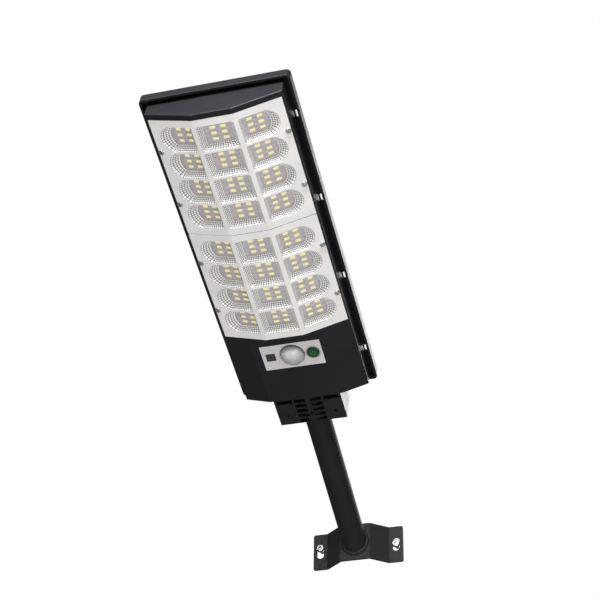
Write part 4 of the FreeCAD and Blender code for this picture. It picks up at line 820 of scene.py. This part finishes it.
def make_weld():
    """The weld bead round the arm's foot, along the line where the tube meets the bracket's face.

    The bead's section is a quarter-round hollow swollen outwards; its size ripples with |sin| of the turn.
    """
    turn = np.arange(WELD_STEPS) / WELD_STEPS * 2 * math.pi
    axis = ARM_AXIS / np.linalg.norm(ARM_AXIS)
    side = np.array([1.0, 0.0, 0.0])
    up = np.cross(side, axis)
    up /= np.linalg.norm(up)
    rim = side * np.cos(turn)[:, None] + up * np.sin(turn)[:, None]
    ripple = 1.0 + 0.16 * np.abs(np.sin(turn * 26)) + 0.07 * np.sin(turn * 7 + 1.0)
    on_tube = ARM_FOOT + rim * ARM_R
    slide = (FACE_Y - on_tube[:, 1]) / axis[1]
    base = on_tube + axis * slide[:, None]
    out = rim - np.array([0.0, 1.0, 0.0]) * rim[:, 1:2]
    out /= np.linalg.norm(out, axis=1, keepdims=True)
    part = np.linspace(0.0, math.pi / 2, WELD_PROFILE)
    size = WELD_SIZE * ripple
    rows = []
    for a in part:
        rows.append(base + out * (np.cos(a) * size)[:, None] + axis * (np.sin(a) * size)[:, None])
    rows.append(base + axis * (size * 0.6)[:, None] - rim * WELD_SINK)
    rows.append(base - rim * WELD_SINK + BEHIND_FACE)
    rows.append(base + out * (size * 0.7)[:, None] + BEHIND_FACE)
    points = np.stack(rows)
    loops = len(rows)
    r = np.arange(loops)[:, None]
    c = np.arange(WELD_STEPS)[None, :]
    n = (c + 1) % WELD_STEPS
    d = (r + 1) % loops
    quads = np.stack([r * WELD_STEPS + c, r * WELD_STEPS + n, d * WELD_STEPS + n, d * WELD_STEPS + c], -1)
    piece = make_object("arm_weld_bead", points * MM, quads.reshape(-1, 4), [MATERIALS["powder_coat"]])
    tidy_mesh(piece, angle=math.radians(60))
    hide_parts("arm_weld")
    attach(piece, "arm")
    return piece


# ---- solar panel ribbons -------------------------------------------------------------------
PANEL_MID = 168.7
PANEL_LENGTH = 312.0
PANEL_WIDTH = 112.0
CELL_MARGIN = 5.0
CELL_GAP = 2.0
CELL_COLS = 2
RIBBONS_PER_CELL = 2
RIBBON_W = 1.3
RIBBON_TOP = 0.62
RIBBON_T = 0.16
RIBBON_OVERRUN = 2.4
BUS_HALF = 1.2
BUS_INSET = 8


def make_ribbons():
    """Solder ribbons over the cells: flat strips down each cell column and a bus across each end."""
    wide = (PANEL_WIDTH - 2 * CELL_MARGIN - (CELL_COLS - 1) * CELL_GAP) / CELL_COLS
    low = PANEL_MID - PANEL_LENGTH / 2 + CELL_MARGIN - RIBBON_OVERRUN
    high = PANEL_MID + PANEL_LENGTH / 2 - CELL_MARGIN + RIBBON_OVERRUN
    spans = []
    for column in range(CELL_COLS):
        left = -PANEL_WIDTH / 2 + CELL_MARGIN + column * (wide + CELL_GAP)
        for ribbon in range(RIBBONS_PER_CELL):
            x = left + wide * (ribbon + 0.5) / RIBBONS_PER_CELL
            spans.append((x - RIBBON_W / 2, x + RIBBON_W / 2, low, high))
    for y in (low, high):
        spans.append((-PANEL_WIDTH / 2 + BUS_INSET, PANEL_WIDTH / 2 - BUS_INSET, y - BUS_HALF, y + BUS_HALF))
    cube = np.array([[x, y, z] for z in (0, 1) for y in (0, 1) for x in (0, 1)], float)
    quads = np.array([[0, 2, 3, 1], [4, 5, 7, 6], [0, 1, 5, 4], [2, 6, 7, 3], [0, 4, 6, 2], [1, 3, 7, 5]])
    points, faces = [], []
    for x0, x1, y0, y1 in spans:
        corner = np.array([x0, -y1, RIBBON_TOP])
        size = np.array([x1 - x0, y1 - y0, RIBBON_T])
        faces.append(quads + 8 * len(points))
        points.append(corner + cube * size)
    piece = make_object("cell_ribbons", head_to_row(np.concatenate(points)), np.concatenate(faces),
                        [MATERIALS["ribbon"]], smooth=False)
    tidy_mesh(piece)
    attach(piece, "head")
    return piece


# ---- finishes for the carried-over nodes ---------------------------------------------------
MATERIALS = {}


def make_materials():
    """Builds every finish once."""
    MATERIALS.update({
        "powder_coat": powder_coat(),
        "housing": moulded_plastic("housing plastic", (0.011, 0.011, 0.0130), (0.018, 0.018, 0.0220), 0.42),
        "tray": moulded_plastic("tray plastic", (0.010, 0.010, 0.012), (0.017, 0.017, 0.020), 0.44),
        "bright_steel": plated_steel("plated screw steel", (0.55, 0.56, 0.58), 0.3),
        "dark_steel": plated_steel("lens screw steel", (0.72, 0.72, 0.72), 0.42),
        "black_steel": plated_steel("black bolt steel", (0.045, 0.045, 0.047), 0.42),
        "brass": plated_steel("insert brass", (0.72, 0.52, 0.24), 0.3),
        "lens_white": lens_white(),
        "lens_clear": lens_clear(),
        "rubber": plain_plastic("seal rubber", (0.018, 0.018, 0.018), 0.75),
        "light_board": light_board(),
        "chip_frame": plain_plastic("chip frame plastic", (0.82, 0.82, 0.80), 0.35, 2600.0),
        "phosphor": phosphor(),
        "label": silver_label(),
        "dome": milky_dome(),
        "sensor_can": plated_steel("sensor can metal", (0.62, 0.62, 0.60), 0.25),
        "button": plain_plastic("button green rubber", (0.012, 0.075, 0.025), 0.38, 1400.0),
        "mark_green": plain_plastic("button mark", (0.10, 0.42, 0.16), 0.35),
        "ring_white": plain_plastic("button ring", (0.72, 0.72, 0.70), 0.4),
        "window": barred_window(),
        "dark_plastic": plain_plastic("inner dark plastic", (0.03, 0.03, 0.032), 0.5),
        "circuit": plain_plastic("circuit board mask", (0.010, 0.09, 0.035), 0.35),
        "component": plain_plastic("component bodies", (0.06, 0.06, 0.065), 0.45),
        "battery": plain_plastic("battery sleeve", (0.03, 0.10, 0.36), 0.3),
        "panel_cover": clear_sheet(),
        "silicon": silicon(),
        "backsheet": plain_plastic("panel backsheet", (0.70, 0.70, 0.69), 0.5),
        "ribbon": plated_steel("ribbon tin", (0.62, 0.63, 0.65), 0.35),
        "lead_red": plain_plastic("red lead", (0.45, 0.02, 0.015), 0.4),
        "lead_black": plain_plastic("black lead", (0.02, 0.02, 0.02), 0.42),
    })


NODE_FINISH = {
    "wall_bracket": "powder_coat",
    "arm_tube": "powder_coat",
    "wall_screws": "bright_steel",
    "panel_tray": "tray",
    "housing": "housing",
    "clamp_cover": "housing",
    "clamp_bolts": "black_steel",
    "pole_lock_screw": "black_steel",
    "clamp_inserts": "brass",
    "case_screws": "bright_steel",
    "lens_gasket": "rubber",
    "lens_screws": "dark_steel",
    "light_board_centre": "light_board",
    "light_board_right": "light_board",
    "light_board_left": "light_board",
    "light_board_screws": "bright_steel",
    "control_label": "label",
    "motion_sensor": "sensor_can",
    "power_button": "button",
    "switch_plunger": "dark_plastic",
    "switch_body": "dark_plastic",
    "receiver_window": "window",
    "remote_receiver": "dark_plastic",
    "control_board": "circuit",
    "board_components": "component",
    "control_board_screws": "bright_steel",
    "battery_cells": "battery",
    "battery_straps": "dark_plastic",
    "battery_strap_screws": "bright_steel",
    "solar_cover_sheet": "panel_cover",
    "solar_cells": "silicon",
    "solar_backsheet": "backsheet",
    "panel_lead": "lead_red",
    "battery_lead": "lead_red",
    "light_lead": "lead_black",
}


# ---- stage ---------------------------------------------------------------------------------
CAMERA_IN_HEAD = (337.67, 603.54, 1141.24)
CAMERA_TURN = (-2.4706, 0.2726, 0.2195)
CAMERA_LENS = 93.94
FLOOR_Z = -2.45
FLOOR_HALF = 6.0
LIGHTS_AIM = (0.0, -0.25, 0.05)
KEY_AIM = (0.0, -0.5, 0.15)
WARM = (1.0, 0.955, 0.93)


def camera_matrix():
    """The camera's place: a turn vector gives the rows right, down and forward in the head's frame."""
    turn = Vector(CAMERA_TURN)
    rows = np.array(Matrix.Rotation(turn.length, 3, turn.normalized()))
    right, down, forward = (HEAD_TURN @ rows.T).T
    spot = head_to_row(np.array(CAMERA_IN_HEAD))
    columns = np.column_stack([right, -down, -forward])
    return Matrix.Translation(Vector(spot)) @ Matrix(columns.tolist()).to_4x4()


def area_light(name, spot, aim, size, power, color=(1.0, 1.0, 1.0)):
    """A soft square light at spot, facing aim."""
    data = bpy.data.lights.new(name, "AREA")
    data.shape = "SQUARE"
    data.size = size
    data.energy = power
    data.color = color
    lamp = bpy.data.objects.new(name, data)
    lamp.location = spot
    lamp.rotation_mode = "QUATERNION"
    lamp.rotation_quaternion = (Vector(aim) - Vector(spot)).to_track_quat("-Z", "Y")
    bpy.context.scene.collection.objects.link(lamp)
    return lamp


def make_surroundings(tree, brightness):
    """White behind the object, and a dimmer white dome for the light that falls on it."""
    seen = tree.nodes["Background"]
    seen.inputs["Color"].default_value = (1.0, 1.0, 1.0, 1.0)
    seen.inputs["Strength"].default_value = 1.0
    dome = tree.nodes.new("ShaderNodeBackground")
    dome.inputs["Color"].default_value = (1.0, 1.0, 1.0, 1.0)
    dome.inputs["Strength"].default_value = brightness
    path = tree.nodes.new("ShaderNodeLightPath")
    mix = tree.nodes.new("ShaderNodeMixShader")
    tree.links.new(path.outputs["Is Camera Ray"], mix.inputs["Fac"])
    tree.links.new(dome.outputs["Background"], mix.inputs[1])
    tree.links.new(seen.outputs["Background"], mix.inputs[2])
    tree.links.new(mix.outputs["Shader"], tree.nodes["World Output"].inputs["Surface"])


def stage_floor():
    """A pale matt floor that shows its own paleness, whatever light reaches it."""
    finish = Finish("stage floor", (0.80, 0.80, 0.80), 0.9)
    pale = finish.ramp(finish.noise(0.6, 2.0), [(0.3, (0.78, 0.78, 0.78)), (0.7, (0.82, 0.82, 0.82))])
    finish.link(pale, finish.shader.inputs["Base Color"])
    glow = finish.node("ShaderNodeEmission")
    finish.link(pale, glow.inputs["Color"])
    path = finish.node("ShaderNodeLightPath")
    mix = finish.node("ShaderNodeMixShader")
    finish.link(path.outputs["Is Camera Ray"], mix.inputs["Fac"])
    finish.link(finish.shader.outputs["BSDF"], mix.inputs[1])
    finish.link(glow.outputs["Emission"], mix.inputs[2])
    finish.link(mix.outputs["Shader"], finish.tree.nodes["Material Output"].inputs["Surface"])
    return finish


def make_stage(brightness):
    """Camera, white surroundings, pale floor and three soft lights."""
    scene = bpy.context.scene
    data = bpy.data.cameras.new("Camera")
    data.lens = CAMERA_LENS
    data.sensor_width = 36.0
    data.clip_start = 0.05
    data.clip_end = 60.0
    camera = bpy.data.objects.new("Camera", data)
    scene.collection.objects.link(camera)
    camera.matrix_world = camera_matrix()
    scene.camera = camera
    world = bpy.data.worlds.new("Studio")
    scene.world = world
    world.use_nodes = True
    scene.view_settings.view_transform = "Standard"
    make_surroundings(world.node_tree, brightness)
    finish = stage_floor()
    signs = ((-1, -1), (1, -1), (1, 1), (-1, 1))
    corners = np.array([[x * FLOOR_HALF, y * FLOOR_HALF, FLOOR_Z] for x, y in signs])
    floor = make_object("floor", corners, np.array([[0, 1, 2, 3]]), [finish.material], smooth=False)
    area_light("key", (0.15, -1.55, 0.5), KEY_AIM, 0.6, 40.0)
    area_light("fill", (0.9, -1.2, -1.3), LIGHTS_AIM, 1.0, 9.5, WARM)
    area_light("side", (0.5, 1.5, 1.2), LIGHTS_AIM, 1.2, 26.0)
    return camera


# ---- the add-on's settings and buttons -----------------------------------------------------
class LampStageSettings(bpy.types.PropertyGroup):
    """Settings of the stage."""

    brightness: bpy.props.FloatProperty(
        name="Surroundings", description="Strength of the light from all round",
        default=0.16, min=0.0, max=4.0, subtype="FACTOR")


class LampLensSettings(bpy.types.PropertyGroup):
    """Settings of the lenses."""

    wall: bpy.props.FloatProperty(
        name="Wall", description="Thickness of the lens moulding", default=LENS_WALL * MM,
        min=0.0003, max=0.0015, unit="LENGTH", subtype="DISTANCE")


class LAMP_OT_materials(bpy.types.Operator):
    """Build every finish and give the carried-over parts theirs"""

    bl_idname = "lamp.materials"
    bl_label = "Finishes"

    def execute(self, context):
        make_materials()
        for node, finish in NODE_FINISH.items():
            set_node_material(node, MATERIALS[finish])
        return {"FINISHED"}


class LAMP_OT_stage(bpy.types.Operator):
    """Set the camera, surroundings, floor and lights"""

    bl_idname = "lamp.stage"
    bl_label = "Stage"

    def execute(self, context):
        make_stage(context.scene.lamp_stage.brightness)
        return {"FINISHED"}


class LAMP_OT_lenses(bpy.types.Operator):
    """Build the two cupped lenses"""

    bl_idname = "lamp.lenses"
    bl_label = "Lenses"

    def execute(self, context):
        for name, start, node in (("lens_outer_shell", LENS_START, "lens_outer"),
                                  ("lens_inner_shell", LENS_START + LENS_LENGTH, "lens_inner")):
            piece = make_lens(name, start, node)
            piece.modifiers["wall"].thickness = context.scene.lamp_lens.wall
        return {"FINISHED"}


class LAMP_OT_chips(bpy.types.Operator):
    """Build the light chips on the three boards"""

    bl_idname = "lamp.chips"
    bl_label = "Light chips"

    def execute(self, context):
        for side, word in ((-1, "left"), (0, "centre"), (1, "right")):
            make_chips("chips_" + word, side, "light_chips_" + word)
        return {"FINISHED"}


class LAMP_OT_controls(bpy.types.Operator):
    """Build the sensor dome, the button's mark and its ring"""

    bl_idname = "lamp.controls"
    bl_label = "Control panel"

    def execute(self, context):
        make_dome()
        make_icon()
        make_button_ring()
        return {"FINISHED"}


class LAMP_OT_arm(bpy.types.Operator):
    """Build the weld bead round the arm's foot"""

    bl_idname = "lamp.arm"
    bl_label = "Arm weld"

    def execute(self, context):
        make_weld()
        return {"FINISHED"}


class LAMP_OT_panel(bpy.types.Operator):
    """Build the ribbons over the solar cells"""

    bl_idname = "lamp.panel"
    bl_label = "Panel ribbons"

    def execute(self, context):
        make_ribbons()
        return {"FINISHED"}


STEPS = (LAMP_OT_materials, LAMP_OT_stage, LAMP_OT_lenses, LAMP_OT_chips, LAMP_OT_controls, LAMP_OT_arm,
         LAMP_OT_panel)


class LAMP_PT_build(bpy.types.Panel):
    """Lists the lamp's build steps."""

    bl_idname = "LAMP_PT_build"
    bl_label = "Solar street lamp"
    bl_space_type = "VIEW_3D"
    bl_region_type = "UI"
    bl_category = "Lamp"

    def draw(self, context):
        for step in STEPS:
            self.layout.operator(step.bl_idname)
        self.layout.prop(context.scene.lamp_stage, "brightness")
        self.layout.prop(context.scene.lamp_lens, "wall")


CLASSES = (LampStageSettings, LampLensSettings) + STEPS + (LAMP_PT_build,)


def register():
    """Registers the classes and hangs the settings on the scene."""
    for cls in CLASSES:
        bpy.utils.register_class(cls)
    bpy.types.Scene.lamp_stage = bpy.props.PointerProperty(type=LampStageSettings)
    bpy.types.Scene.lamp_lens = bpy.props.PointerProperty(type=LampLensSettings)


def unregister():
    """Undoes register."""
    del bpy.types.Scene.lamp_lens
    del bpy.types.Scene.lamp_stage
    for cls in reversed(CLASSES):
        bpy.utils.unregister_class(cls)


def main():
    """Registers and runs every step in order."""
    register()
    for step in STEPS:
        group, _, action = step.bl_idname.partition(".")
        getattr(getattr(bpy.ops, group), action)()


if __name__ == "__main__":
    main()
